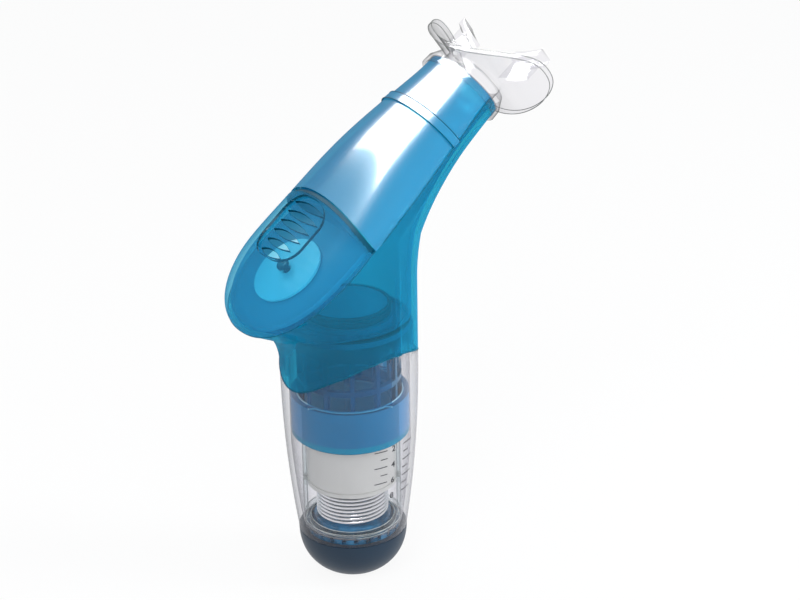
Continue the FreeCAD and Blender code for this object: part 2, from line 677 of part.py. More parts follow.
def make_grille():
    """Perforated air grille: a round tray with holes in its floor and slots in its wall."""
    body = disc(GRILLE_RADIUS, GRILLE_BOTTOM, FORK_RING_BOTTOM)
    body = body.cut(disc(GRILLE_BORE, GRILLE_FLOOR, FAR))
    cutters = []
    for radius, count in GRILLE_RINGS:
        for place in ring_points(radius, count):
            cutters.append(Part.makeCylinder(GRILLE_HOLE, FAR, place))
    low = KNOB_TOP + GRILLE_SLOT_START
    high = FORK_RING_BOTTOM - GRILLE_RIM
    for i in range(GRILLE_SLOTS):
        turn = 360 / GRILLE_SLOTS * i
        cutters.append(arm(GRILLE_SLOT_WIDTH, GRILLE_RADIUS + ROOT, low, high, turn, GRILLE_BORE - ROOT))
    return body.cut(Part.makeCompound(cutters))


def make_fork():
    """Clear drive fork: a ring over the grille with two slotted legs that turn the sleeve."""
    parts = [tube(FORK_OUTER, GRILLE_BORE - FORK_LIP, FORK_RING_BOTTOM, FORK_TOP_OF_RING)]
    shell = tube(FORK_OUTER, FORK_INNER, FORK_RING_BOTTOM, LEG_TOP)
    slot = LUG_WIDTH + 2 * LUG_CLEARANCE
    for angle in LEG_ANGLES:
        leg = shell.common(arm(LEG_WIDTH, FORK_OUTER + ROOT, 0, FAR, angle))
        parts.append(leg.cut(arm(slot, FORK_OUTER + ROOT, SLEEVE_BOTTOM - LUG_SLOT_START, FAR, angle)))
    return fuse(parts)


def make_sleeve():
    """Load sleeve: screws up and down in the cup, and carries the upper end of the spring."""
    inner = SLEEVE_RADIUS - SLEEVE_WALL
    body = tube(SLEEVE_RADIUS, inner, SLEEVE_BOTTOM, SLEEVE_TOP)
    rim_top = SLEEVE_BOTTOM + SLEEVE_RIM
    rim = tube(SLEEVE_RADIUS + SLEEVE_RIM_PROUD, inner, SLEEVE_BOTTOM, rim_top)
    bottom = WASHER_TOP + SPRING_GAP
    flange = tube(inner + ROOT, SLEEVE_FLANGE_BORE, bottom, bottom + SLEEVE_FLANGE)
    parts = [body, rim, flange]
    ring = tube(FORK_OUTER - LUG_TIP_CLEARANCE, SLEEVE_RADIUS - ROOT, SLEEVE_BOTTOM, rim_top)
    for angle in LEG_ANGLES:
        parts.append(ring.common(arm(LUG_WIDTH, FORK_OUTER, 0, FAR, angle)))
    return fuse(parts)


def make_washer():
    """Thrust washer between the spring and the sleeve."""
    bore = SPRING_OUTER - WIRE - WASHER_LIP
    return tube(SPRING_OUTER + WASHER_MARGIN, bore, WASHER_BOTTOM, WASHER_TOP)


def make_spring():
    """Load spring, wound round the stem."""
    base = SPRING_SEAT_HEIGHT + SPRING_GAP + WIRE / 2
    path = Part.makeHelix(SPRING_PITCH, SPRING_COILS * SPRING_PITCH, SPRING_RADIUS)
    path.translate(Vector(0, 0, base))
    section = Part.Wire(Part.makeCircle(WIRE / 2, Vector(SPRING_RADIUS, 0, base), Vector(0, 1, 0)))
    return Part.Wire(path.Edges).makePipeShell([section], True, True)


def make_retainer():
    """Lower spring seat, an open wheel on the stem's lower end."""
    low = RETAINER_BOTTOM
    high = SPRING_SEAT_HEIGHT
    parts = [tube(RETAINER_RADIUS, RETAINER_BORE, low, high)]
    parts.append(tube(RETAINER_HUB, STEM_RADIUS + STEM_CLEARANCE, low, high + RETAINER_HUB_RISE))
    for turn in THREE_ARMS:
        start = RETAINER_HUB - ROOT
        parts.append(arm(RETAINER_ARM, RETAINER_BORE + ROOT, low, high, turn + 30, start))
    lip = SPRING_OUTER - WIRE - RETAINER_LIP_GAP
    parts.append(tube(lip, RETAINER_BORE, low, high + RETAINER_LIP))
    return fuse(parts)


def make_stem():
    """Valve stem, from the poppet down to the retainer."""
    low = RETAINER_BOTTOM - NUT_THICKNESS + STEM_SHORT_OF_NUT
    rod = disc(STEM_RADIUS, low, STEM_TOP)
    return rod.makeChamfer(STEM_CHAMFER, [e for e in rod.Edges if e.BoundBox.ZMax < low + STEM_CHAMFER])


def make_stem_nut():
    """Hexagon nut under the retainer."""
    low = RETAINER_BOTTOM - FIT_GAP - NUT_THICKNESS
    corners = ring_points(NUT_ACROSS_FLATS / math.sqrt(3), 6, low)
    body = Part.Face(Part.makePolygon(corners + corners[:1])).extrude(Vector(0, 0, NUT_THICKNESS))
    return body.cut(disc(STEM_RADIUS + FIT_GAP, 0, FAR))


def make_poppet():
    """Inhale poppet: a domed plate with a hub, a web and a guide skirt."""
    groove = O_RING_RADIUS - O_RING_SECTION - FIT_GAP
    skirt = SEAT_BORE - POPPET_SKIRT_CLEARANCE
    web = skirt - POPPET_SKIRT_WALL
    skirt_low = FLANGE_BOTTOM + POPPET_SKIRT_END
    plate_low = SEAT_TOP + 2 * O_RING_SECTION + 3 * FIT_GAP
    plate_high = plate_low + POPPET_PLATE
    crest = plate_high + POPPET_CROWN
    rim = O_RING_RADIUS + POPPET_RIM
    bore = STEM_RADIUS + POPPET_BORE_CLEARANCE
    outline = [(rim, plate_high - POPPET_EDGE_DROP), (rim, plate_low), (groove, plate_low),
               (groove, SEAT_TOP + POPPET_GROOVE_DROP), (skirt, SEAT_TOP + POPPET_GROOVE_DROP / 2),
               (skirt, skirt_low), (web, skirt_low), (web, plate_low), (POPPET_HUB, plate_low + ROOT),
               (POPPET_HUB, FLANGE_TOP), (bore, FLANGE_TOP), (bore, STEM_TOP + FIT_GAP),
               (0, STEM_TOP + FIT_GAP), (0, crest), (POPPET_HUB, crest)]
    corners = [Vector(x, 0, z) for x, z in outline]
    middle = Vector((POPPET_HUB + rim) / 2, 0, (crest + plate_high) / 2)
    dome = Part.Arc(corners[-1], middle, corners[0]).toShape()
    return revolve([dome] + polyline(corners))


def make_o_ring():
    """O-ring of the poppet."""
    return Part.makeTorus(O_RING_RADIUS, O_RING_SECTION, Vector(0, 0, SEAT_TOP + FIT_GAP + O_RING_SECTION))


def make_seat():
    """Valve seat: clamped flange, raised seating ring and lower skirt."""
    parts = [tube(FLANGE_RADIUS, SEAT_BORE, FLANGE_BOTTOM, FLANGE_TOP)]
    parts.append(tube(SEAT_BORE + SEAT_RING_WALL, SEAT_BORE, FLANGE_BOTTOM, SEAT_TOP))
    parts.append(tube(SEAT_SKIRT_RADIUS, SEAT_SKIRT_RADIUS - SEAT_SKIRT_WALL, CAGE_TOP, FLANGE_TOP))
    return fuse(parts)


def make_stem_guide():
    """Spider under the seat that guides the stem."""
    high = FLANGE_BOTTOM
    low = high - GUIDE_THICKNESS
    reach = SEAT_SKIRT_RADIUS - SEAT_SKIRT_WALL - GUIDE_CLEARANCE
    ring = reach - GUIDE_RING
    parts = [tube(GUIDE_HUB, STEM_RADIUS + STEM_CLEARANCE, low - GUIDE_BOSS, high)]
    parts.append(tube(reach, ring, low, high))
    for turn in THREE_ARMS:
        parts.append(arm(GUIDE_ARM, ring + ROOT, low, high, turn + 90, GUIDE_HUB - ROOT))
    return fuse(parts)


def make_gasket():
    """Flat gasket between the seat's flange and the housing's shoulder."""
    return tube(FLANGE_RADIUS, SHOULDER_RADIUS, FLANGE_TOP, SHOULDER_BOTTOM)


def make_cage():
    """Open cage that holds the cup under the seat."""
    inner = CAGE_RADIUS - CAGE_WALL
    half = CAGE_RING_DEPTH / 2
    parts = [tube(CAGE_RADIUS, inner, CAGE_TOP - CAGE_TOP_RING, CAGE_TOP)]
    parts.append(tube(CAGE_RADIUS, inner, CAGE_RING_HEIGHT - half, CAGE_RING_HEIGHT + half))
    parts.append(tube(CAGE_RADIUS, inner, COLLAR_TOP, COLLAR_TOP + CAGE_FOOT_RING))
    shell = tube(CAGE_RADIUS, inner, COLLAR_TOP, CAGE_TOP)
    for i in range(CAGE_RIBS):
        parts.append(shell.common(arm(CAGE_RIB_WIDTH, CAGE_RADIUS + ROOT, 0, FAR, 360 / CAGE_RIBS * i)))
    return fuse(parts)


def make_cup():
    """Cup under the seat's flange: two windows, a rim, and the collar in which the sleeve runs."""
    inner = CUP_RADIUS - CUP_WALL
    body = tube(CUP_RADIUS, inner, CUP_BOTTOM, FLANGE_BOTTOM)
    edges = [e for e in body.Edges if e.BoundBox.ZMax < COLLAR_BOTTOM and e.BoundBox.XMax > inner + ROOT]
    body = body.makeChamfer(CUP_CHAMFER, edges)
    for angle in CUP_WINDOWS:
        body = body.cut(arm(CUP_WINDOW_WIDTH, CUP_RADIUS + ROOT, CUP_RIM, CUP_WINDOW_TOP, angle))
    collar = tube(inner + ROOT, SLEEVE_RADIUS + SCREW_CLEARANCE, COLLAR_BOTTOM, COLLAR_TOP)
    rim = tube(inner + ROOT, CUP_RADIUS - CUP_RIM_WIDTH, CUP_RIM - CUP_RIM_DEPTH, CUP_RIM)
    return fuse([body, collar, rim])


def neck_oval(s, outset):
    """Whole oval outline of the neck at station s, made larger by outset."""
    side = ACROSS * (half_width(min(s, NECK_END)) + outset)
    up = CROWNWARD * (crown_height(min(s, NECK_END)) + outset)
    down = CROWNWARD * -(NECK_DEPTH + outset)
    centre = head(s, 0, 0)
    upper = Part.Arc(Part.Ellipse(centre + side, centre + up, centre), 0, math.pi)
    lower = Part.Arc(Part.Ellipse(centre - side, centre + down, centre), 0, math.pi)
    return Part.Wire([upper.toShape(), lower.toShape()])


def neck_solid(stations, outset):
    """Solid of neck outlines, each station with its own outset."""
    return loft([neck_oval(s, o) for s, o in zip(stations, outset)], True)


def arched_plate(start, thickness, height):
    """Plate across the head, curved round the lips like the shield, start behind its front."""
    y = SHIELD_HALF_WIDTH + ROOT
    near_s = SHIELD_STATION + start
    far_s = near_s + thickness
    sweep = SHIELD_SWEEP * (y / SHIELD_HALF_WIDTH) ** 2
    base = -height / 2
    near = [Vector(near_s + sweep, -y, base), Vector(near_s, 0, base), Vector(near_s + sweep, y, base)]
    far = [Vector(far_s + sweep, y, base), Vector(far_s, 0, base), Vector(far_s + sweep, -y, base)]
    edges = [Part.Arc(*near).toShape(), Part.Arc(*far).toShape()]
    edges += [Part.makeLine(near[2], far[0]), Part.makeLine(far[2], near[0])]
    face = Part.Face(Part.Wire(Part.__sortEdges__(edges)))
    return face.extrude(Vector(0, 0, height))


def make_shield():
    """Lip shield: a curved plate with a full, rounded outline."""
    power = 2 / SHIELD_ROUNDNESS
    points = []
    for turn in spread(0, 2 * math.pi, 24):
        across = math.copysign(abs(math.cos(turn)) ** power, math.cos(turn))
        up = math.copysign(abs(math.sin(turn)) ** power, math.sin(turn))
        points.append(Vector(0, SHIELD_HALF_WIDTH * across, SHIELD_HALF_HEIGHT * up))
    outline = Part.BSplineCurve()
    outline.interpolate(Points=points, PeriodicFlag=True)
    prism = Part.Face(Part.Wire([outline.toShape()])).extrude(Vector(FAR, 0, 0))
    return in_head(arched_plate(0, SHIELD_THICKNESS, 3 * SHIELD_HALF_HEIGHT).common(prism))


def make_bite_lug(side):
    """Flat lug that is held between the teeth, with a ridge behind them, on one side of the airway."""
    low = min(side * BITE_INNER, side * BITE_OUTER)
    zone = Part.makeBox(FAR, BITE_OUTER - BITE_INNER, FAR, Vector(0, low, -FAR / 2))
    tab = arched_plate(SHIELD_THICKNESS / 2, BITE_LENGTH + BITE_RIDGE / 2, BITE_THICKNESS)
    ridge = arched_plate(SHIELD_THICKNESS / 2 + BITE_LENGTH, BITE_RIDGE, BITE_RIDGE_HEIGHT)
    return in_head(tab.fuse(ridge).common(zone))


def make_mouthpiece():
    """Soft mouthpiece: short collar over the neck's end, throat, curved shield and two bite lugs."""
    end = NECK_END + COLLAR_FIT
    stations = [COLLAR_START, end, end + COLLAR_LIP, SHIELD_STATION + SHIELD_THICKNESS / 2]
    collar = neck_solid(stations, [COLLAR_WALL, COLLAR_WALL, COLLAR_WALL - COLLAR_LIP_DROP, -THROAT_DRAW])
    socket = neck_solid([COLLAR_START - ROOT, end], [COLLAR_FIT, COLLAR_FIT])
    bore = neck_solid([end - ROOT, SHIELD_STATION + SHIELD_HALF_HEIGHT], [-THROAT_WALL, -THROAT_WALL])
    body = collar.multiFuse([make_shield(), make_bite_lug(-1), make_bite_lug(1)])
    return body.cut(socket).cut(bore)


os.makedirs("parts", exist_ok=True)
upper_shell = crown().cut(crown(WALL))
nodes = {
    "rear_housing": make_rear_housing(),
    "front_cover": make_front_cover(upper_shell),
    "vent_cover": make_vent_cover(upper_shell),
    "exhale_deck": make_exhale_deck(),
    "exhale_flap": make_flap(),
    "flap_stud": make_stud(),
    "mouthpiece": make_mouthpiece(),
    "clear_barrel": make_barrel(),
    "adjuster_knob": make_knob(),
    "air_grille": make_grille(),
    "drive_fork": make_fork(),
    "load_sleeve": make_sleeve(),
    "thrust_washer": make_washer(),
    "load_spring": make_spring(),
    "spring_retainer": make_retainer(),
    "valve_stem": make_stem(),
    "stem_nut": make_stem_nut(),
    "inhale_poppet": make_poppet(),
    "poppet_o_ring": make_o_ring(),
    "valve_seat": make_seat(),
    "stem_guide": make_stem_guide(),
    "seat_gasket": make_gasket(),
    "valve_cage": make_cage(),
    "screw_cup": make_cup(),
}
for name, shape in nodes.items():
    print(name, "valid", shape.isValid(), "solids", len(shape.Solids), "volume", round(shape.Volume, 1))
    shape.exportStep("parts/" + name + ".step")
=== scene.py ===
# %% [markdown]
# # A breathing trainer in tinted and clear plastic
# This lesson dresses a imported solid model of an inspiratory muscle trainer: a hand-held device that
# makes breathing in harder, with a sprung valve in a clear barrel. The solids already have their
# places and joints. Blender adds what makes them look real: tinted and clear plastics, soft edges,
# the silicone mouthpiece, the printed scale, the light and the camera.

# %% Load the solids as a fixed frame
import math

import bmesh
import bpy
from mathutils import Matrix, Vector


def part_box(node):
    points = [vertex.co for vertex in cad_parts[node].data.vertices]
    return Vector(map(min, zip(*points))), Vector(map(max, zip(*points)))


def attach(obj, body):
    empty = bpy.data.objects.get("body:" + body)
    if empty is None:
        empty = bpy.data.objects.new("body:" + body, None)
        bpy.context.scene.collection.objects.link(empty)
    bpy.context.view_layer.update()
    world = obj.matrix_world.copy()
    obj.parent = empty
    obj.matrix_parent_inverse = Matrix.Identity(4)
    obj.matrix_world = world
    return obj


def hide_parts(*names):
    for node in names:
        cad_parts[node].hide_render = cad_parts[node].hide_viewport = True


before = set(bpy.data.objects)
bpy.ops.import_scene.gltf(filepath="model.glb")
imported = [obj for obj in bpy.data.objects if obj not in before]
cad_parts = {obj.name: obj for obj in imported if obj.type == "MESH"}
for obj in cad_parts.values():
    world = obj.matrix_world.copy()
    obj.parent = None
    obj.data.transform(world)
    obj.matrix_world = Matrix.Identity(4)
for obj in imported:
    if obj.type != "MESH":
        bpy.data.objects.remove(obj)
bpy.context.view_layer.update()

# %% [markdown]
# Every size below is in millimetres, as on a drawing, and becomes metres by one factor. The head
# leans back by 36 degrees from the horizontal, so it gets three directions of its own: along it
# towards the mouth, across it, and up to its crown.

# %% Directions of the head
MM = 0.001
LEAN = math.radians(36.0)
ALONG = Vector((math.cos(LEAN), 0, math.sin(LEAN)))
CROWNWARD = Vector((-math.sin(LEAN), 0, math.cos(LEAN)))
CROSSING = Vector((0, 0, 140.2)) * MM


def head_coordinates(point):
    """Station along the head, distance across it and height over its parting plane, in millimetres."""
    reach = (Vector(point) - CROSSING) / MM
    return reach.dot(ALONG), reach.y, reach.dot(CROWNWARD)


# %% [markdown]
# ## Camera
# The photograph shows the vents at the left and the mouthpiece at the right, seen a little from
# above. A long lens keeps the barrel's sides nearly parallel. The eye point, the direction and the
# small roll were found by laying the model's outline over the photograph's.

# %% Place the camera
AZIMUTH = math.radians(-33.0)
ELEVATION = math.radians(22.0)
ROLL = math.radians(-1.5)
FOCAL_PIXELS = 2285.7
AIM = Vector((0, 0, 144.5)) * MM
DISTANCE = 0.800
IMAGE_WIDTH = 800
SENSOR_WIDTH = 36.0
NEAR_CLIP = 0.01
PRINCIPAL_RIGHT = 55.2
PRINCIPAL_DOWN = 94.5

back = Vector((math.sin(AZIMUTH) * math.cos(ELEVATION), -math.cos(AZIMUTH) * math.cos(ELEVATION),
               math.sin(ELEVATION)))
level_right = Vector((math.cos(AZIMUTH), math.sin(AZIMUTH), 0))
level_up = back.cross(level_right)
rolled_right = level_right * math.cos(ROLL) + level_up * math.sin(ROLL)
rolled_up = back.cross(rolled_right)
eye = AIM + back * DISTANCE
look = (-back * FOCAL_PIXELS + rolled_right * PRINCIPAL_RIGHT - rolled_up * PRINCIPAL_DOWN).normalized()
right = (rolled_right - look * rolled_right.dot(look)).normalized()
up = right.cross(look)

camera_data = bpy.data.cameras.new("photo_camera")
camera_data.sensor_width = SENSOR_WIDTH
camera_data.lens = FOCAL_PIXELS * SENSOR_WIDTH / IMAGE_WIDTH
camera_data.clip_start = NEAR_CLIP
camera = bpy.data.objects.new("photo_camera", camera_data)
bpy.context.scene.collection.objects.link(camera)
turn = camera.matrix_world.copy()
for column, axis in enumerate((right, up, -look)):
    for row in range(3):
        turn[row][column] = axis[row]
turn.translation = eye
camera.matrix_world = turn
bpy.context.scene.camera = camera
print("lens:", round(camera_data.lens, 2), "eye:", [round(v, 3) for v in eye])

# %% [markdown]
# ## Finishes
# Each finish is a small node tree. A helper starts the tree with one Principled shader, and others
# add what moulded plastic has: roughness that wanders a little, a fine grain, and tints that drift.

# %% Helpers for finishes
GRAIN_DEPTH = 0.00005
DRIFT_FROM = 0.3
DRIFT_TO = 0.7


def start_finish(name, colour, roughness, **sockets):
    """New material with one Principled shader, and the shader's plain values."""
    material = bpy.data.materials.new(name)
    material.use_nodes = True
    shader = material.node_tree.nodes["Principled BSDF"]
    shader.inputs["Base Color"].default_value = (*colour, 1)
    shader.inputs["Roughness"].default_value = roughness
    for socket, value in sockets.items():
        shader.inputs[socket.replace("_", " ")].default_value = value
    return material, shader


def object_noise(material, scale, detail=3.0):
    """Noise over the object's own coordinates, in metres."""
    tree = material.node_tree
    place = tree.nodes.new("ShaderNodeTexCoord")
    noise = tree.nodes.new("ShaderNodeTexNoise")
    noise.inputs["Scale"].default_value = scale
    noise.inputs["Detail"].default_value = detail
    tree.links.new(place.outputs["Object"], noise.inputs["Vector"])
    return noise


def vary_roughness(material, shader, scale, low, high):
    """Roughness that wanders between two values."""
    noise = object_noise(material, scale)
    spread = material.node_tree.nodes.new("ShaderNodeMapRange")
    spread.inputs["To Min"].default_value = low
    spread.inputs["To Max"].default_value = high
    material.node_tree.links.new(noise.outputs["Fac"], spread.inputs["Value"])
    material.node_tree.links.new(spread.outputs["Result"], shader.inputs["Roughness"])


def add_grain(material, shader, scale, strength):
    """Fine bump for a moulded surface."""
    noise = object_noise(material, scale, 4.0)
    bump = material.node_tree.nodes.new("ShaderNodeBump")
    bump.inputs["Strength"].default_value = strength
    bump.inputs["Distance"].default_value = GRAIN_DEPTH
    material.node_tree.links.new(noise.outputs["Fac"], bump.inputs["Height"])
    material.node_tree.links.new(bump.outputs["Normal"], shader.inputs["Normal"])


def vary_colour(material, shader, scale, first, second):
    """Colour that drifts softly between two tints."""
    noise = object_noise(material, scale, 2.0)
    ramp = material.node_tree.nodes.new("ShaderNodeValToRGB")
    ramp.color_ramp.elements[0].position = DRIFT_FROM
    ramp.color_ramp.elements[0].color = (*first, 1)
    ramp.color_ramp.elements[1].position = DRIFT_TO
    ramp.color_ramp.elements[1].color = (*second, 1)
    material.node_tree.links.new(noise.outputs["Fac"], ramp.inputs["Fac"])
    material.node_tree.links.new(ramp.outputs["Color"], shader.inputs["Base Color"])


print("finish helpers ready")

# %% [markdown]
# Thin tinted walls can be made without bending the light: a share of the surface lets it straight
# through with a tint, and the rest is solid pigment. Towards its outline a wall is looked at along
# its length, through much more plastic, so there the share of pigment grows. Over both lies a clear
# gloss that grows towards the outline too, by Schlick's rule. Straight rays also let the lamps
# reach the pieces inside.

# %% Tinted and clear walls
SATIN_ROUGHNESS = 0.27
PIGMENT_ROUGHNESS = 0.45
PIGMENT_DRIFT_SCALE = 25.0
GLOSS_SCALE = 60.0
GLOSS_SPREAD = 0.4
SCHLICK_POWER = 5.0
FACING_GLOSS = 0.015


def outline_share(tree, power, low, high):
    """A value that goes from low, where a wall faces the viewer, to high at its outline."""
    layer = tree.nodes.new("ShaderNodeLayerWeight")
    layer.inputs["Blend"].default_value = 0.5
    raised = tree.nodes.new("ShaderNodeMath")
    raised.operation = "POWER"
    raised.inputs[1].default_value = power
    spread = tree.nodes.new("ShaderNodeMapRange")
    spread.inputs["To Min"].default_value = low
    spread.inputs["To Max"].default_value = high
    tree.links.new(layer.outputs["Facing"], raised.inputs[0])
    tree.links.new(raised.outputs["Value"], spread.inputs["Value"])
    return spread.outputs["Result"]


def thin_wall(name, pigment, drift, tint, front, edge, power, roughness, satin=0.0, rim_gloss=0.3):
    """Finish of a thin wall: pigment over a tinted clear base, under a satin sheen and a gloss."""
    material, shader = start_finish(name, pigment, PIGMENT_ROUGHNESS, Specular_IOR_Level=0.0)
    vary_colour(material, shader, PIGMENT_DRIFT_SCALE, pigment, drift)
    tree = material.node_tree
    clear = tree.nodes.new("ShaderNodeBsdfTransparent")
    clear.inputs["Color"].default_value = (*tint, 1)
    wall = tree.nodes.new("ShaderNodeMixShader")
    wall.name = "wall"
    tree.links.new(outline_share(tree, power, front, edge), wall.inputs["Fac"])
    tree.links.new(clear.outputs["BSDF"], wall.inputs[1])
    tree.links.new(shader.outputs["BSDF"], wall.inputs[2])
    sheen = tree.nodes.new("ShaderNodeBsdfGlossy")
    sheen.inputs["Roughness"].default_value = SATIN_ROUGHNESS
    sheened = tree.nodes.new("ShaderNodeMixShader")
    sheened.inputs["Fac"].default_value = satin
    tree.links.new(wall.outputs["Shader"], sheened.inputs[1])
    tree.links.new(sheen.outputs["BSDF"], sheened.inputs[2])
    gloss = tree.nodes.new("ShaderNodeBsdfGlossy")
    vary_roughness(material, gloss, GLOSS_SCALE, roughness * (1 - GLOSS_SPREAD),
                   roughness * (1 + GLOSS_SPREAD))
    coated = tree.nodes.new("ShaderNodeMixShader")
    tree.links.new(outline_share(tree, SCHLICK_POWER, FACING_GLOSS, rim_gloss), coated.inputs["Fac"])
    tree.links.new(sheened.outputs["Shader"], coated.inputs[1])
    tree.links.new(gloss.outputs["BSDF"], coated.inputs[2])
    tree.links.new(coated.outputs["Shader"], tree.nodes["Material Output"].inputs["Surface"])
    return material


shell_blue = thin_wall("tinted_shell", (0.002, 0.22, 0.39), (0.004, 0.25, 0.44), (0.18, 0.74, 0.84),
                       front=0.18, edge=0.88, power=2.0, roughness=0.06, rim_gloss=0.08)
cover_blue = thin_wall("tinted_cover", (0.004, 0.25, 0.48), (0.008, 0.28, 0.53), (0.26, 0.82, 0.93),
                       front=0.52, edge=0.90, power=1.5, roughness=0.05, satin=0.045, rim_gloss=0.15)
vent_blue = thin_wall("tinted_vent_cover", (0.006, 0.27, 0.50), (0.012, 0.31, 0.56), (0.50, 0.90, 0.985),
                      front=0.15, edge=0.90, power=2.0, roughness=0.05, satin=0.003, rim_gloss=0.10)
deck_blue = thin_wall("tinted_deck", (0.17, 0.42, 0.57), (0.20, 0.46, 0.61), (0.30, 0.75, 0.92),
                      front=0.85, edge=0.95, power=1.5, roughness=0.20)
poppet_blue = thin_wall("tinted_poppet", (0.46, 0.60, 0.68), (0.52, 0.66, 0.74), (0.30, 0.60, 0.75),
                        front=0.85, edge=0.95, power=1.5, roughness=0.15)
seat_blue = thin_wall("tinted_seat", (0.10, 0.34, 0.52), (0.12, 0.38, 0.57), (0.35, 0.75, 0.92),
                      front=0.55, edge=0.90, power=1.5, roughness=0.12)
cup_blue = thin_wall("tinted_cup", (0.010, 0.16, 0.34), (0.015, 0.19, 0.39), (0.45, 0.80, 0.92),
                     front=0.84, edge=0.95, power=1.5, roughness=0.10, rim_gloss=0.06)
clear_plastic = thin_wall("clear_barrel_plastic", (0.30, 0.30, 0.32), (0.40, 0.40, 0.42),
                          (0.948, 0.948, 0.962), front=0.01, edge=0.78, power=3.0, roughness=0.03,
                          rim_gloss=0.25)
clear_silicone = thin_wall("clear_mouth_silicone", (0.05, 0.06, 0.05), (0.09, 0.10, 0.09),
                           (0.962, 0.958, 0.970), front=0.01, edge=0.97, power=5.0, roughness=0.05,
                           rim_gloss=0.10)
fork_clear = thin_wall("clear_fork_plastic", (0.30, 0.34, 0.34), (0.36, 0.40, 0.40),
                       (0.93, 0.95, 0.95), front=0.03, edge=0.75, power=3.0, roughness=0.03)

# Dark finish for the edge lines, also used as painted shade in the seam groove and on the vents' walls.
dark_blue, dark_shader = start_finish("thick_edge_and_painted_shade", (0.003, 0.095, 0.165), 0.5,
                                      Specular_IOR_Level=0.1)
vary_colour(dark_blue, dark_shader, 60.0, (0.001, 0.070, 0.125), (0.004, 0.11, 0.18))
cage_blue, cage_shader = start_finish("deep_blue_cage", (0.02, 0.13, 0.24), 0.35, Specular_IOR_Level=0.2)
vary_colour(cage_blue, cage_shader, 60.0, (0.012, 0.10, 0.19), (0.03, 0.16, 0.29))
light_edge, light_shader = start_finish("lit_edge", (0.30, 0.62, 0.80), 0.35)
vary_colour(light_edge, light_shader, 60.0, (0.24, 0.55, 0.74), (0.40, 0.72, 0.86))
smoke_edge, smoke_shader = start_finish("smoky_edge", (0.06, 0.07, 0.06), 0.35)
vary_colour(smoke_edge, smoke_shader, 90.0, (0.02, 0.03, 0.025), (0.22, 0.23, 0.22))
clear_edge, clear_edge_shader = start_finish("lit_clear_edge", (0.55, 0.62, 0.60), 0.30)
vary_colour(clear_edge, clear_edge_shader, 60.0, (0.34, 0.42, 0.41), (0.72, 0.78, 0.75))
print("walls:", shell_blue.name, clear_plastic.name, clear_silicone.name)

# %% [markdown]
# The knob is opaque navy, the tray in it is a dark perforated moulding, the sleeve is satin silver,
# the spring is bright steel, and the flap is a pale silicone disc that shows through its cover.

# %% Opaque finishes
navy, navy_shader = start_finish("navy_knob_plastic", (0.008, 0.023, 0.044), 0.42,
                                 Specular_IOR_Level=0.3)
vary_roughness(navy, navy_shader, 90.0, 0.36, 0.48)
add_grain(navy, navy_shader, 900.0, 0.12)

tray_blue, tray_shader = start_finish("dark_tray_plastic", (0.02, 0.13, 0.24), 0.22, Coat_Weight=0.4)
vary_colour(tray_blue, tray_shader, 160.0, (0.010, 0.06, 0.12), (0.03, 0.24, 0.46))

silver, silver_shader = start_finish("satin_silver_sleeve", (0.56, 0.56, 0.53), 0.40, Metallic=0.35)
vary_roughness(silver, silver_shader, 70.0, 0.28, 0.42)

white_plastic, white_shader = start_finish("white_acetal", (0.80, 0.82, 0.84), 0.42)
add_grain(white_plastic, white_shader, 800.0, 0.1)

steel, steel_shader = start_finish("bright_spring_steel", (0.78, 0.79, 0.80), 0.16, Metallic=1.0)
vary_roughness(steel, steel_shader, 200.0, 0.10, 0.24)

rubber, rubber_shader = start_finish("maroon_rubber", (0.020, 0.005, 0.006), 0.45)
add_grain(rubber, rubber_shader, 1200.0, 0.2)

flap_pale, flap_shader = start_finish("pale_silicone", (0.72, 0.88, 0.94), 0.40, Subsurface_Weight=0.15)
flap_shader.inputs["Subsurface Radius"].default_value = (0.002, 0.004, 0.006)
vary_roughness(flap_pale, flap_shader, 80.0, 0.34, 0.46)

ink, ink_shader = start_finish("scale_ink", (0.02, 0.02, 0.025), 0.5)
add_grain(ink, ink_shader, 2000.0, 0.1)
print("opaque finishes:", navy.name, tray_blue.name, silver.name, steel.name, rubber.name)

# %% [markdown]
# The cup is one moulding with several tints. Its left and right sides, as seen from the camera, are
# painted lighter, which is painted light, and the foot is a deeper, greener band where the wall turns
# into the floor. The real cup has a window over its inner rim, through which the cage's ribs are
# seen. The solid's wall is closed on this side, so its finish gets less pigment there. The tints are
# found by the place across and by the height.

# %% Painted light on the cup's sides, and the foot of the cup
def plain_math(tree, operation, first, second):
    """One arithmetic step between two values, where each is a socket or a number."""
    node = tree.nodes.new("ShaderNodeMath")
    node.operation = operation
    for i, value in enumerate((first, second)):
        if isinstance(value, (int, float)):
            node.inputs[i].default_value = value
        else:
            tree.links.new(value, node.inputs[i])
    return node.outputs["Value"]


LIT_SIDES_ANGLE = math.radians(-33.0)
LIT_SIDES_HALF_WIDTH = 12.7 * MM
FOOT_BAND_TOP = 59.6 * MM
WINDOW_FOOT = 73.1 * MM
CLEARED_SHARE = 0.76
PAINTED_LIGHT_BLUE = (0.045, 0.25, 0.50)
FOOT_BLUE = (0.002, 0.24, 0.40)

tree = cup_blue.node_tree
place = tree.nodes.new("ShaderNodeTexCoord")
parts = tree.nodes.new("ShaderNodeSeparateXYZ")
tree.links.new(place.outputs["Object"], parts.inputs["Vector"])
sideways = plain_math(tree, "SUBTRACT",
                      plain_math(tree, "MULTIPLY", parts.outputs["Y"], math.cos(LIT_SIDES_ANGLE)),
                      plain_math(tree, "MULTIPLY", parts.outputs["X"], math.sin(LIT_SIDES_ANGLE)))
in_lit_side = plain_math(tree, "LESS_THAN", plain_math(tree, "ABSOLUTE", sideways, 0.0), LIT_SIDES_HALF_WIDTH)
in_foot = plain_math(tree, "LESS_THAN", parts.outputs["Z"], FOOT_BAND_TOP)


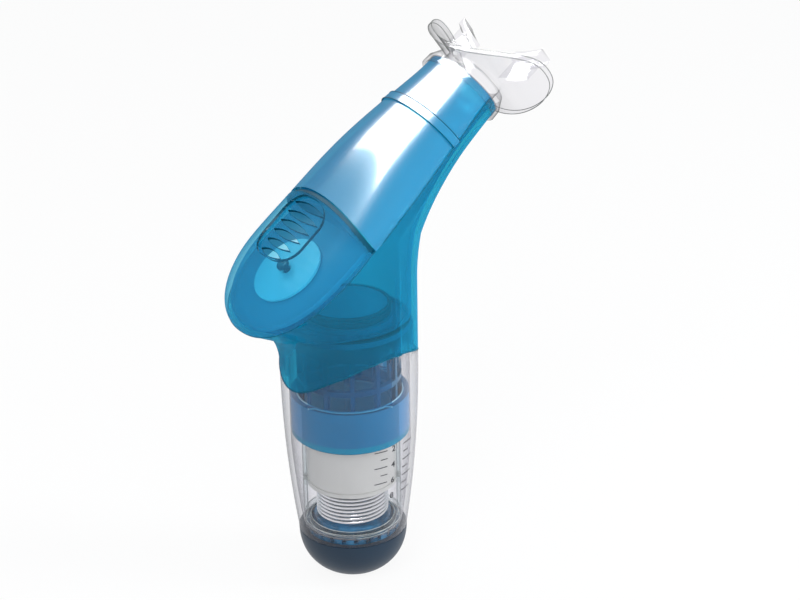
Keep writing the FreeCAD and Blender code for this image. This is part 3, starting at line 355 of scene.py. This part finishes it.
def shade_where(tree, mask, base, colour):
    """Colour that replaces the base where the mask is 1."""
    blend = tree.nodes.new("ShaderNodeMix")
    blend.data_type = "RGBA"
    colour_inputs = {socket.name: socket for socket in blend.inputs if socket.type == "RGBA"}
    colour_inputs["B"].default_value = (*colour, 1)
    tree.links.new(mask, blend.inputs[0])
    tree.links.new(base, colour_inputs["A"])
    return [socket for socket in blend.outputs if socket.type == "RGBA"][0]


over_rim = plain_math(tree, "GREATER_THAN", parts.outputs["Z"], WINDOW_FOOT)
kept_share = plain_math(tree, "SUBTRACT", 1.0, plain_math(tree, "MULTIPLY", over_rim, CLEARED_SHARE))
share = tree.nodes["wall"].inputs["Fac"].links[0].from_socket
tree.links.new(plain_math(tree, "MULTIPLY", share, kept_share), tree.nodes["wall"].inputs["Fac"])
cup_shader = tree.nodes["Principled BSDF"]
cup_base = cup_shader.inputs["Base Color"].links[0].from_socket
# Painted light: the cup's left and right sides, as seen from the camera, are painted lighter.
with_lit_sides = shade_where(tree, in_lit_side, cup_base, PAINTED_LIGHT_BLUE)
banded = shade_where(tree, in_foot, with_lit_sides, FOOT_BLUE)
tree.links.new(banded, cup_shader.inputs["Base Color"])
print("cup finish nodes:", len(tree.nodes))

# %% Put the finishes on the solids
FINISH_OF = {
    "rear_housing": shell_blue, "front_cover": cover_blue, "vent_cover": vent_blue,
    "exhale_deck": deck_blue, "exhale_flap": flap_pale, "flap_stud": navy,
    "mouthpiece": clear_silicone, "clear_barrel": clear_plastic, "adjuster_knob": navy,
    "air_grille": tray_blue, "drive_fork": fork_clear, "load_sleeve": silver,
    "thrust_washer": white_plastic, "load_spring": steel, "spring_retainer": tray_blue,
    "valve_stem": steel, "stem_nut": steel, "inhale_poppet": poppet_blue, "poppet_o_ring": rubber,
    "valve_seat": seat_blue, "stem_guide": seat_blue, "seat_gasket": rubber, "valve_cage": cage_blue,
    "screw_cup": cup_blue,
}
for name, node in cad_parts.items():
    for place in node.material_slots:
        place.material = FINISH_OF[name]
print("finished solids:", len(FINISH_OF))

# %% [markdown]
# ## Smooth skins for the moulded pieces
# The solids' shells are made of narrow straight strips. A copy of such a mesh is merged, which joins
# its loose triangles, and is then shaded smooth up to 32 degrees, so the strips read as one curve
# while real edges stay crisp. The copy stands in for its solid, at the same place.

# %% Skin helper
MERGE_DISTANCE = 1e-6
SKIN_ANGLE = 32.0


def deselect_all():
    """Nothing stays selected before an operator runs."""
    bpy.ops.object.select_all(action="DESELECT")


def make_active(piece):
    """The piece alone is selected and active."""
    deselect_all()
    piece.select_set(True)
    bpy.context.view_layer.objects.active = piece


def merged_copy(node_name, name):
    """A copy of a solid's mesh whose loose triangles are joined."""
    copy = bpy.data.objects.new(name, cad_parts[node_name].data.copy())
    bpy.context.scene.collection.objects.link(copy)
    make_active(copy)
    bpy.ops.object.mode_set(mode="EDIT")
    bpy.ops.mesh.select_all(action="SELECT")
    bpy.ops.mesh.remove_doubles(threshold=MERGE_DISTANCE)
    bpy.ops.object.mode_set(mode="OBJECT")
    return copy


def smooth_skin(node_name, body, finish):
    """A merged, smoothly shaded copy of a solid, which replaces it."""
    skin = merged_copy(node_name, node_name + "_skin")
    bpy.ops.object.shade_smooth_by_angle(angle=math.radians(SKIN_ANGLE))
    skin.data.materials.clear()
    skin.data.materials.append(finish)
    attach(skin, body)
    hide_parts(node_name)
    return skin


# %% Make the skins
SKINS = (
    ("rear_housing", "housing", "blue_shell", shell_blue),
    ("front_cover", "housing", "blue_shell", cover_blue),
    ("vent_cover", "housing", "blue_shell", vent_blue),
    ("clear_barrel", "housing", "clear_plastic", clear_plastic),
    ("adjuster_knob", "knob", "navy_plastic", navy),
)
skins = {}
for node_name, body, slot, finish in SKINS:
    skins[node_name] = smooth_skin(node_name, body, finish)
    print(skins[node_name].name, "faces:", len(skins[node_name].data.polygons))

# %% [markdown]
# A moulded dome mirrors light in one smooth sweep, but the narrow triangles along its openings
# would break that sweep into teeth. So the two covers and the skirt get their normals from the
# drawing: the crown is an oval whose width and height are known at each station, and the lower
# housing is round. A corner takes the drawn normal where its face already lies within 14 degrees.

# %% The drawn surfaces
BULB_START = -20.0
BULB_LENGTH = 34.5
BULB_HALF_WIDTH = 26.3
BULB_ROUNDNESS = 2.3
BULB_CROWN = 15.5
CROWN_SWELL = 2.9
NECK_END = 64.0
NECK_HALF_WIDTH = 15.8
NECK_CROWN = 14.8
LEAST_END = 0.02
NORMAL_STEP = 0.05
WITHIN = math.cos(math.radians(14.0))


def rounded_end(share, power):
    """Height of a rounded end, from 1 at its widest station down to its tip."""
    return max(LEAST_END, 1.0 - min(1.0, abs(share)) ** power) ** (1.0 / power)


def rim_half_width(s):
    """Half width of the head's rim at a station."""
    if s < BULB_START:
        return BULB_HALF_WIDTH * rounded_end((s - BULB_START) / BULB_LENGTH, BULB_ROUNDNESS)
    t = (s - BULB_START) / (NECK_END - BULB_START)
    return BULB_HALF_WIDTH + (NECK_HALF_WIDTH - BULB_HALF_WIDTH) * (2.1 * t ** 2 - 1.1 * t ** 3)


def crown_height(s):
    """Height of the crown over the parting plane at a station."""
    if s < BULB_START:
        return BULB_CROWN * rounded_end((s - BULB_START) / BULB_LENGTH, 2.0)
    t = (s - BULB_START) / (NECK_END - BULB_START)
    return BULB_CROWN + CROWN_SWELL * math.sin(math.pi * t) ** 2 + (NECK_CROWN - BULB_CROWN) * t ** 2


def crown_share(s, y, n):
    """How near a point is to the crown's surface, which is at 1."""
    return (y / rim_half_width(s)) ** 2 + (n / crown_height(s)) ** 2


def crown_normal(point):
    """Outward direction of the crown's surface at a point."""
    s, y, n = head_coordinates(point)
    along = crown_share(s + NORMAL_STEP, y, n) - crown_share(s - NORMAL_STEP, y, n)
    across = crown_share(s, y + NORMAL_STEP, n) - crown_share(s, y - NORMAL_STEP, n)
    upwards = crown_share(s, y, n + NORMAL_STEP) - crown_share(s, y, n - NORMAL_STEP)
    return (ALONG * along + Vector((0, across, 0)) + CROWNWARD * upwards).normalized()


def round_normal(point):
    """Outward direction of the round lower housing at a point."""
    return Vector((point.x, point.y, 0)).normalized()


def draw_normals(skin, normal_at, applies):
    """Corners whose face follows the drawn surface take its normal, outside or inside."""
    mesh = skin.data
    normals = [mesh.corner_normals[i].vector.copy() for i in range(len(mesh.loops))]
    changed = 0
    for face in mesh.polygons:
        for i in face.loop_indices:
            point = mesh.vertices[mesh.loops[i].vertex_index].co
            if not applies(point):
                continue
            drawn = normal_at(point)
            agreement = drawn.dot(face.normal)
            if abs(agreement) > WITHIN:
                normals[i] = drawn if agreement > 0 else -drawn
                changed += 1
    mesh.normals_split_custom_set(normals)
    print(skin.name, "drawn corners:", changed, "of", len(mesh.loops))


# %% Draw the normals
TIP_STATION = -52.0
RIM_CLEARANCE = 0.3
STRAIGHT_SKIRT_TOP = 87.5


def on_crown(point):
    """True above the rounded tip, where the crown's formula holds."""
    s, _, n = head_coordinates(point)
    return s > TIP_STATION and n > RIM_CLEARANCE


def on_round_skirt(point):
    """True where the housing is still a straight cylinder."""
    return point.z < STRAIGHT_SKIRT_TOP * MM


draw_normals(skins["front_cover"], crown_normal, on_crown)
draw_normals(skins["vent_cover"], crown_normal, on_crown)
draw_normals(skins["rear_housing"], round_normal, on_round_skirt)

# %% [markdown]
# The groove along the seam and the steps round the vents are much darker than the cover. Partly
# the eye looks along a wall there instead of through it, and partly this is painted shade in the
# groove and the recess. These narrow faces get the darker finish. These narrow faces get the deeper tint.
# They are found by their place under the crown's surface, or by how squarely they face sideways.

# %% Painted shade and deeper tint in the seam groove and on the vents' walls
SEAM_MIDDLE = -2.2
SEAM_DROP = 4.8 / 30.3 ** 2
GROOVE_START = -1.9
GROOVE_END = -0.2
GROOVE_FLOOR_SHARE = 0.80
GROOVE_LIP_SHARE = 0.975
VENTS_START = -31.5
VENTS_END = -3.5
VENTS_HALF_WIDTH = 11.9
VENTS_LEAST_HEIGHT = 5.0
SIDEWAYS_LIMIT = 0.25


def in_seam_groove(s, y, n):
    """True on the floor and the side of the groove along the arched seam."""
    from_seam = s - (SEAM_MIDDLE - SEAM_DROP * y * y)
    in_depth = GROOVE_FLOOR_SHARE < crown_share(s, y, n) < GROOVE_LIP_SHARE
    return GROOVE_START < from_seam < GROOVE_END and in_depth


def is_vent_wall(s, y, n, normal):
    """True on the side walls of the recess and of the slots."""
    faces_sideways = abs(normal.dot(CROWNWARD)) < SIDEWAYS_LIMIT
    in_recess = VENTS_START < s < VENTS_END and abs(y) < VENTS_HALF_WIDTH
    return faces_sideways and in_recess and n > VENTS_LEAST_HEIGHT


# Painted shade: the seam groove's faces and the vents' walls take the dark finish.
cover = skins["vent_cover"]
cover.data.materials.append(dark_blue)
tinted = 0
for face in cover.data.polygons:
    s, y, n = head_coordinates(face.center)
    if in_seam_groove(s, y, n) or is_vent_wall(s, y, n, face.normal):
        face.material_index = 1
        tinted += 1
print("faces with the deeper tint:", tinted)

# %% [markdown]
# ## Dark lines where walls end
# Where a wall of tinted plastic ends, its rounded edge gathers the light, and it reads as a fine
# dark line. The sharp edges of a solid are picked by place, turned into curves, given a fine round
# section and made mesh again. Each line rides with the piece it edges.

# %% Edge line helper
def edge_line(name, source, keep, radius, finish, body, least_turn=25.0):
    """Fine rounded line along the sharp edges of a piece that keep() accepts."""
    work = bmesh.new()
    work.from_mesh(source.data)
    work.edges.ensure_lookup_table()
    chosen = []
    for edge in work.edges:
        if len(edge.link_faces) != 2:
            continue
        if math.degrees(edge.calc_face_angle(0.0)) < least_turn:
            continue
        middle = (edge.verts[0].co + edge.verts[1].co) / 2
        if keep(middle):
            chosen.append((edge.verts[0].index, edge.verts[1].index))
    used = sorted({i for pair in chosen for i in pair})
    new_index = {old: new for new, old in enumerate(used)}
    work.verts.ensure_lookup_table()
    places = [work.verts[i].co.copy() for i in used]
    mesh = bpy.data.meshes.new(name)
    mesh.from_pydata(places, [(new_index[a], new_index[b]) for a, b in chosen], [])
    work.free()
    line = bpy.data.objects.new(name, mesh)
    bpy.context.scene.collection.objects.link(line)
    make_active(line)
    bpy.ops.object.convert(target="CURVE")
    line.data.bevel_depth = radius * MM
    line.data.bevel_resolution = 2
    line.data.use_fill_caps = True
    bpy.ops.object.convert(target="MESH")
    bpy.ops.object.shade_smooth()
    line.data.materials.clear()
    line.data.materials.append(finish)
    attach(line, body)
    print(name, "edges:", len(chosen), "faces:", len(line.data.polygons))
    return line


# %% Lines of the housing
BAND_START = 41.0
BAND_END = 44.4
BAND_LEAST_SHARE = 1.01
PARTING_REACH = 0.05
STATION_REACH = 0.1
RIM_DEPTH = 0.6
RIM_LEAST_SHARE = 0.94
SKIRT_LINE_TOP = 95.0
SKIRT_LEAST_RADIUS = 24.7
FINE_LINE = 0.16
SKIRT_LINE = 0.22


def on_parting_line(point):
    """True on the outer rim, where the covers meet the rear housing."""
    s, y, n = head_coordinates(point)
    if abs(n) > PARTING_REACH or s > NECK_END - STATION_REACH:
        return False
    if s > BULB_START:
        return abs(y) > rim_half_width(s) - RIM_DEPTH
    lengthwise = (abs(s - BULB_START) / BULB_LENGTH) ** BULB_ROUNDNESS
    return lengthwise + (abs(y) / BULB_HALF_WIDTH) ** BULB_ROUNDNESS > RIM_LEAST_SHARE


def on_skirt_edge(point):
    """True on the outer lower edge of the skirt."""
    return point.z < SKIRT_LINE_TOP * MM and math.hypot(point.x, point.y) > SKIRT_LEAST_RADIUS * MM


def on_band_edge(point):
    """True on the two raised edges of the band round the neck."""
    s, y, n = head_coordinates(point)
    at_end = abs(s - BAND_START) < STATION_REACH or abs(s - BAND_END) < STATION_REACH
    return at_end and n > RIM_CLEARANCE and crown_share(s, y, n) > BAND_LEAST_SHARE


HOUSING_LINES = (
    ("band_lines", "front_cover", on_band_edge, FINE_LINE),
    ("parting_line", "rear_housing", on_parting_line, FINE_LINE),
    ("skirt_edge_line", "rear_housing", on_skirt_edge, SKIRT_LINE),
)
for name, node_name, keep, radius in HOUSING_LINES:
    edge_line(name, skins[node_name], keep, radius, dark_blue, "housing")

# %% [markdown]
# Other edges catch the light instead. The cup's rim, the rim of the tray under the spring and the
# lip of the clear fork's ring all show as thin bright circles in the photograph. The rim of the
# inhale valve's plate is the other way round: its rubber ring shows as a dark circle.

# %% Edges inside the barrel and the housing
HEIGHT_REACH = 0.06
CUP_RIM = 73.0
FORK_RING_TOP = 22.0
TRAY_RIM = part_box("air_grille")[1][2] / MM
POPPET_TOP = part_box("poppet_o_ring")[1][2] / MM
POPPET_RIM_DEPTH = 0.6


def at_height(z, least_radius, most_radius):
    """Test for edges at a height and between two radii, in millimetres."""
    def test(point):
        radius = math.hypot(point.x, point.y) / MM
        return abs(point.z / MM - z) < HEIGHT_REACH and least_radius < radius < most_radius
    return test


def on_poppet_rim(point):
    """True on the rim of the inhale valve's plate, over its rubber ring."""
    on_rim = 14.6 < math.hypot(point.x, point.y) / MM < 15.6
    return on_rim and point.z / MM > POPPET_TOP - POPPET_RIM_DEPTH


INNER_LINES = (
    ("poppet_rim_line", "inhale_poppet", on_poppet_rim, 0.75, rubber, "poppet", "maroon_rubber"),
    ("cup_rim_line", "screw_cup", at_height(CUP_RIM, 10.0, 21.0), 0.30, light_edge, "housing", "blue_seat"),
    ("tray_rim_line", "air_grille", at_height(TRAY_RIM, 15.0, 18.0), 0.16, clear_edge, "knob",
     "grey_plastic"),
    ("fork_rim_line", "drive_fork", at_height(FORK_RING_TOP, 15.0, 19.0), 0.12, clear_edge, "knob",
     "clear_plastic"),
)
for name, node_name, keep, radius, finish, body, slot in INNER_LINES:
    source = merged_copy(node_name, name + "_source")
    edge_line(name, source, keep, radius, finish, body)
    bpy.data.objects.remove(source)

# %% [markdown]
# ## The mouthpiece
# The soft mouthpiece is one moulding of clear silicone: a collar over the neck's end, a shield that
# sits between lips and teeth, and two lugs to bite on. The solid has its true sizes but hard edges.
# A small bevel rounds every edge, as a soft moulding has them, and smooth shading turns the shield
# into one curved sheet.

# %% Soften the mouthpiece
EDGE_ROUNDING = 0.35
ROUNDED_FROM = 50.0
SMOOTH_UP_TO = 48.0

mouth = merged_copy("mouthpiece", "mouthpiece_silicone")
rounding = mouth.modifiers.new("soften", "BEVEL")
rounding.width = EDGE_ROUNDING * MM
rounding.segments = 3
rounding.limit_method = "ANGLE"
rounding.angle_limit = math.radians(ROUNDED_FROM)
bpy.ops.object.modifier_apply(modifier=rounding.name)
bpy.ops.object.shade_smooth_by_angle(angle=math.radians(SMOOTH_UP_TO))
mouth.data.materials.clear()
mouth.data.materials.append(clear_silicone)
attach(mouth, "mouthpiece")
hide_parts("mouthpiece")
print("mouthpiece faces:", len(mouth.data.polygons))

# %% [markdown]
# The shield's thin edge shows as a dark line, like the edges of the housing. The line is drawn in by
# a hundredth towards the shield's middle, so that it isn't proud of the solid.

# %% Dark line round the shield's edge
SHIELD_HALF_WIDTH = 30.0
SHIELD_HALF_HEIGHT = 17.5
SHIELD_ROUNDNESS = 2.4
SHIELD_LEAST_SHARE = 0.93
SHIELD_LINE = 0.13
SHIELD_LEAST_TURN = 40.0
DRAWN_IN = 0.010


def on_shield_rim(point):
    """True on the edge of the shield, away from the lugs and the collar."""
    _, y, n = head_coordinates(point)
    across = (abs(y) / SHIELD_HALF_WIDTH) ** SHIELD_ROUNDNESS
    return across + (abs(n) / SHIELD_HALF_HEIGHT) ** SHIELD_ROUNDNESS > SHIELD_LEAST_SHARE


shield_copy = merged_copy("mouthpiece", "shield_source")
rim_line = edge_line("shield_rim_line", shield_copy, on_shield_rim, SHIELD_LINE, smoke_edge,
                     "mouthpiece", SHIELD_LEAST_TURN)
for vertex in rim_line.data.vertices:
    _, y, n = head_coordinates(vertex.co)
    vertex.co -= (Vector((0, y, 0)) + CROWNWARD * n) * MM * DRAWN_IN
bpy.data.objects.remove(shield_copy)

# %% [markdown]
# ## The printed scale
# The barrel carries two ladders of ticks with plain numbers between them, printed in black. They
# show how far the sleeve has been screwed down. One tick stands for one level, which is one turn of
# the screw, and every second tick is long and has a number. A tick is a thin bar that follows the
# barrel's outside, a little proud of it as printed ink is.

# %% Ticks and numbers
SCALE_TOP = 58.0
TICK_STEP = 3.3
TICK_COUNT = 7
TICK_PIECES = 6
LEFT_LADDER_FOOT = 42.0
LEFT_LONG = (-103.0, 5.2)
LEFT_SHORT = (-97.0, 2.8)
RIGHT_LONG = (-72.0, 5.6)
RIGHT_SHORT = (-72.0, 3.2)
NUMBER_TOP = 57.9
NUMBER_ANGLE = -84.0
NUMBER_SIZE = 3.3
NUMBER_DEPTH = 0.03
NUMBER_BOLDNESS = 0.05
INK_SUNK = 0.02
INK_PROUD = 0.04
INK_HEIGHT = 0.34
BARREL_TOP_RADIUS = 25.0
BARREL_LOW_RADIUS = 20.0
TAPER_TOP = 88.0
TAPER_LOW = 18.0
TAPER_POWER = 2.1


def barrel_radius(z):
    """Outer radius of the barrel at a height, as on the drawing."""
    share = max(0.0, (TAPER_TOP - z) / (TAPER_TOP - TAPER_LOW))
    return BARREL_TOP_RADIUS - (BARREL_TOP_RADIUS - BARREL_LOW_RADIUS) * share ** TAPER_POWER


def make_tick(name, angle, length, z):
    """Ink bar round the barrel, which starts at an angle in degrees and has a length in millimetres."""
    verts = []
    for level in (z - INK_HEIGHT / 2, z + INK_HEIGHT / 2):
        radius = barrel_radius(level)
        for depth in (-INK_SUNK, INK_PROUD):
            for i in range(TICK_PIECES + 1):
                a = math.radians(angle) + length / radius * i / TICK_PIECES
                reach = (radius + depth) * MM
                verts.append((reach * math.cos(a), reach * math.sin(a), level * MM))
    row = TICK_PIECES + 1
    last = TICK_PIECES
    faces = [(0, row, 3 * row, 2 * row), (last, 2 * row + last, 3 * row + last, row + last)]
    for i in range(TICK_PIECES):
        faces.append((row + i, row + i + 1, 3 * row + i + 1, 3 * row + i))
        faces.append((i + 1, i, 2 * row + i, 2 * row + i + 1))
        faces.append((2 * row + i, 3 * row + i, 3 * row + i + 1, 2 * row + i + 1))
        faces.append((i, i + 1, row + i + 1, row + i))
    mesh = bpy.data.meshes.new(name)
    mesh.from_pydata(verts, [], faces)
    tick = bpy.data.objects.new(name, mesh)
    bpy.context.scene.collection.objects.link(tick)
    mesh.materials.append(ink)
    return tick


def make_number(name, digit, angle, z):
    """Printed digit that stands upright on the barrel."""
    deselect_all()
    bpy.ops.object.text_add()
    number = bpy.context.object
    number.name = name
    number.data.body = digit
    number.data.align_x = "CENTER"
    number.data.align_y = "CENTER"
    number.data.size = NUMBER_SIZE * MM
    number.data.extrude = NUMBER_DEPTH * MM
    number.data.offset = NUMBER_BOLDNESS * MM
    bpy.ops.object.convert(target="MESH")
    reach = (barrel_radius(z) + INK_PROUD) * MM
    a = math.radians(angle)
    outwards = Vector((math.cos(a), math.sin(a), 0))
    sideways = Vector((-math.sin(a), math.cos(a), 0))
    slope = (barrel_radius(z + 1) - barrel_radius(z - 1)) / 2
    for vertex in number.data.vertices:
        local = vertex.co.copy()
        place = outwards * (reach + local.z + slope * local.y) + sideways * local.x
        vertex.co = place + Vector((0, 0, z * MM + local.y))
    number.data.materials.clear()
    number.data.materials.append(ink)
    return number


marks = []
for i in range(TICK_COUNT):
    z = SCALE_TOP - TICK_STEP * i
    is_long = i % 2 == 0
    if z > LEFT_LADDER_FOOT:
        start, length = LEFT_LONG if is_long else LEFT_SHORT
        marks.append(make_tick("tick_left_%d" % i, start, length, z))
    start, length = RIGHT_LONG if is_long else RIGHT_SHORT
    marks.append(make_tick("tick_right_%d" % i, start, length, z))
for i, digit in enumerate("2468"):
    marks.append(make_number("number_" + digit, digit, NUMBER_ANGLE, NUMBER_TOP - 2 * TICK_STEP * i))

deselect_all()
for mark in marks:
    mark.select_set(True)
bpy.context.view_layer.objects.active = marks[0]
bpy.ops.object.join()
scale_print = bpy.context.object
scale_print.name = "printed_scale"
make_active(scale_print)
bpy.ops.object.mode_set(mode="EDIT")
bpy.ops.mesh.select_all(action="SELECT")
bpy.ops.mesh.normals_make_consistent(inside=False)
bpy.ops.object.mode_set(mode="OBJECT")
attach(scale_print, "housing")
print("scale faces:", len(scale_print.data.polygons))

# %% [markdown]
# ## Light and surroundings
# A long white card hangs over the head. It gives no diffuse light and is only mirrored, as the
# broad white highlight along the neck's crown. A box at the upper left lights the front, a strip at
# the right lights the sleeve, and a weak box fills from the camera's side. None of these three is
# mirrored. The white surroundings are seen by the camera and by mirrors, and light the object only
# weakly.

# %% Studio lamps
def soft_lamp(name, place, target, width, height, power):
    """Rectangular soft box at a place, turned to its target."""
    data = bpy.data.lights.new(name, "AREA")
    data.energy = power
    data.shape = "RECTANGLE"
    data.size = width
    data.size_y = height
    lamp = bpy.data.objects.new(name, data)
    bpy.context.scene.collection.objects.link(lamp)
    lamp.location = place
    lamp.rotation_euler = (Vector(target) - Vector(place)).to_track_quat("-Z", "Y").to_euler()
    return lamp


middle = (0.0, 0.0, 0.11)
key = soft_lamp("key_box", (-0.75, -0.55, 0.85), middle, width=0.55, height=0.55, power=6.5)
strip = soft_lamp("edge_strip", (0.72, -0.62, 0.40), middle, width=0.30, height=0.80, power=8.5)
fill = soft_lamp("front_fill", (0.05, -1.2, 0.35), middle, width=0.9, height=0.9, power=4.0)
for lamp in (key, strip, fill):
    lamp.visible_glossy = False
sheen_card = soft_lamp("crown_card", (-0.12, 0.30, 1.05), (-0.12, 0.30, 0.0), width=0.46, height=1.50,
                       power=80.0)
sheen_card.rotation_euler = (0, 0, 0)
sheen_card.visible_diffuse = False

# %% White surroundings
SURROUNDINGS_TINT = (0.92, 0.96, 1, 1)
SURROUNDINGS_STRENGTH = 0.55
WHITE = (1, 1, 1, 1)


def largest(tree, first, second):
    """The larger of two values."""
    node = tree.nodes.new("ShaderNodeMath")
    node.operation = "MAXIMUM"
    tree.links.new(first, node.inputs[0])
    tree.links.new(second, node.inputs[1])
    return node.outputs["Value"]


world = bpy.data.worlds.new("studio")
bpy.context.scene.world = world
world.use_nodes = True
tree = world.node_tree
background = tree.nodes["Background"]
background.inputs["Color"].default_value = SURROUNDINGS_TINT
background.inputs["Strength"].default_value = SURROUNDINGS_STRENGTH
seen = tree.nodes.new("ShaderNodeBackground")
seen.inputs["Color"].default_value = WHITE
seen.inputs["Strength"].default_value = 1.0
ray = tree.nodes.new("ShaderNodeLightPath")
direct = largest(tree, ray.outputs["Is Camera Ray"], ray.outputs["Is Transmission Ray"])
mix = tree.nodes.new("ShaderNodeMixShader")
tree.links.new(largest(tree, direct, ray.outputs["Is Glossy Ray"]), mix.inputs["Fac"])
tree.links.new(background.outputs["Background"], mix.inputs[1])
tree.links.new(seen.outputs["Background"], mix.inputs[2])
tree.links.new(mix.outputs["Shader"], tree.nodes["World Output"].inputs["Surface"])
print("world:", world.name)

# %% [markdown]
# The floor is a large plain disc. It has to look as white as the surroundings and still take the
# object's soft shadow, so its own colour is nearly white and a little light is added to it for the
# camera and for mirrors only.

# %% Floor
FLOOR_RADIUS = 3.0
FLOOR_DROP = 0.0002
GLOW_SHARE = 0.90

deselect_all()
bpy.ops.mesh.primitive_circle_add(vertices=96, radius=FLOOR_RADIUS, fill_type="NGON",
                                  location=(0, 0, -FLOOR_DROP))
floor = bpy.context.object
floor.name = "studio_floor"
bpy.ops.object.transform_apply(location=True, rotation=True, scale=True)
floor_white, floor_shader = start_finish("pale_floor", (0.82, 0.82, 0.82), 0.9)
vary_roughness(floor_white, floor_shader, 3.0, 0.85, 0.95)
tree = floor_white.node_tree
glow = tree.nodes.new("ShaderNodeEmission")
glow.inputs["Color"].default_value = WHITE
glow.inputs["Strength"].default_value = 1.0
ray = tree.nodes.new("ShaderNodeLightPath")
weight = tree.nodes.new("ShaderNodeMath")
weight.operation = "MULTIPLY"
weight.inputs[1].default_value = GLOW_SHARE
mix = tree.nodes.new("ShaderNodeMixShader")
direct = largest(tree, ray.outputs["Is Camera Ray"], ray.outputs["Is Transmission Ray"])
tree.links.new(largest(tree, direct, ray.outputs["Is Glossy Ray"]), weight.inputs[0])
tree.links.new(weight.outputs["Value"], mix.inputs["Fac"])
tree.links.new(floor_shader.outputs["BSDF"], mix.inputs[1])
tree.links.new(glow.outputs["Emission"], mix.inputs[2])
tree.links.new(mix.outputs["Shader"], tree.nodes["Material Output"].inputs["Surface"])
floor.data.materials.append(floor_white)
print("floor at:", floor.location[:])

# %% Colour handling
bpy.context.scene.view_settings.view_transform = "Standard"
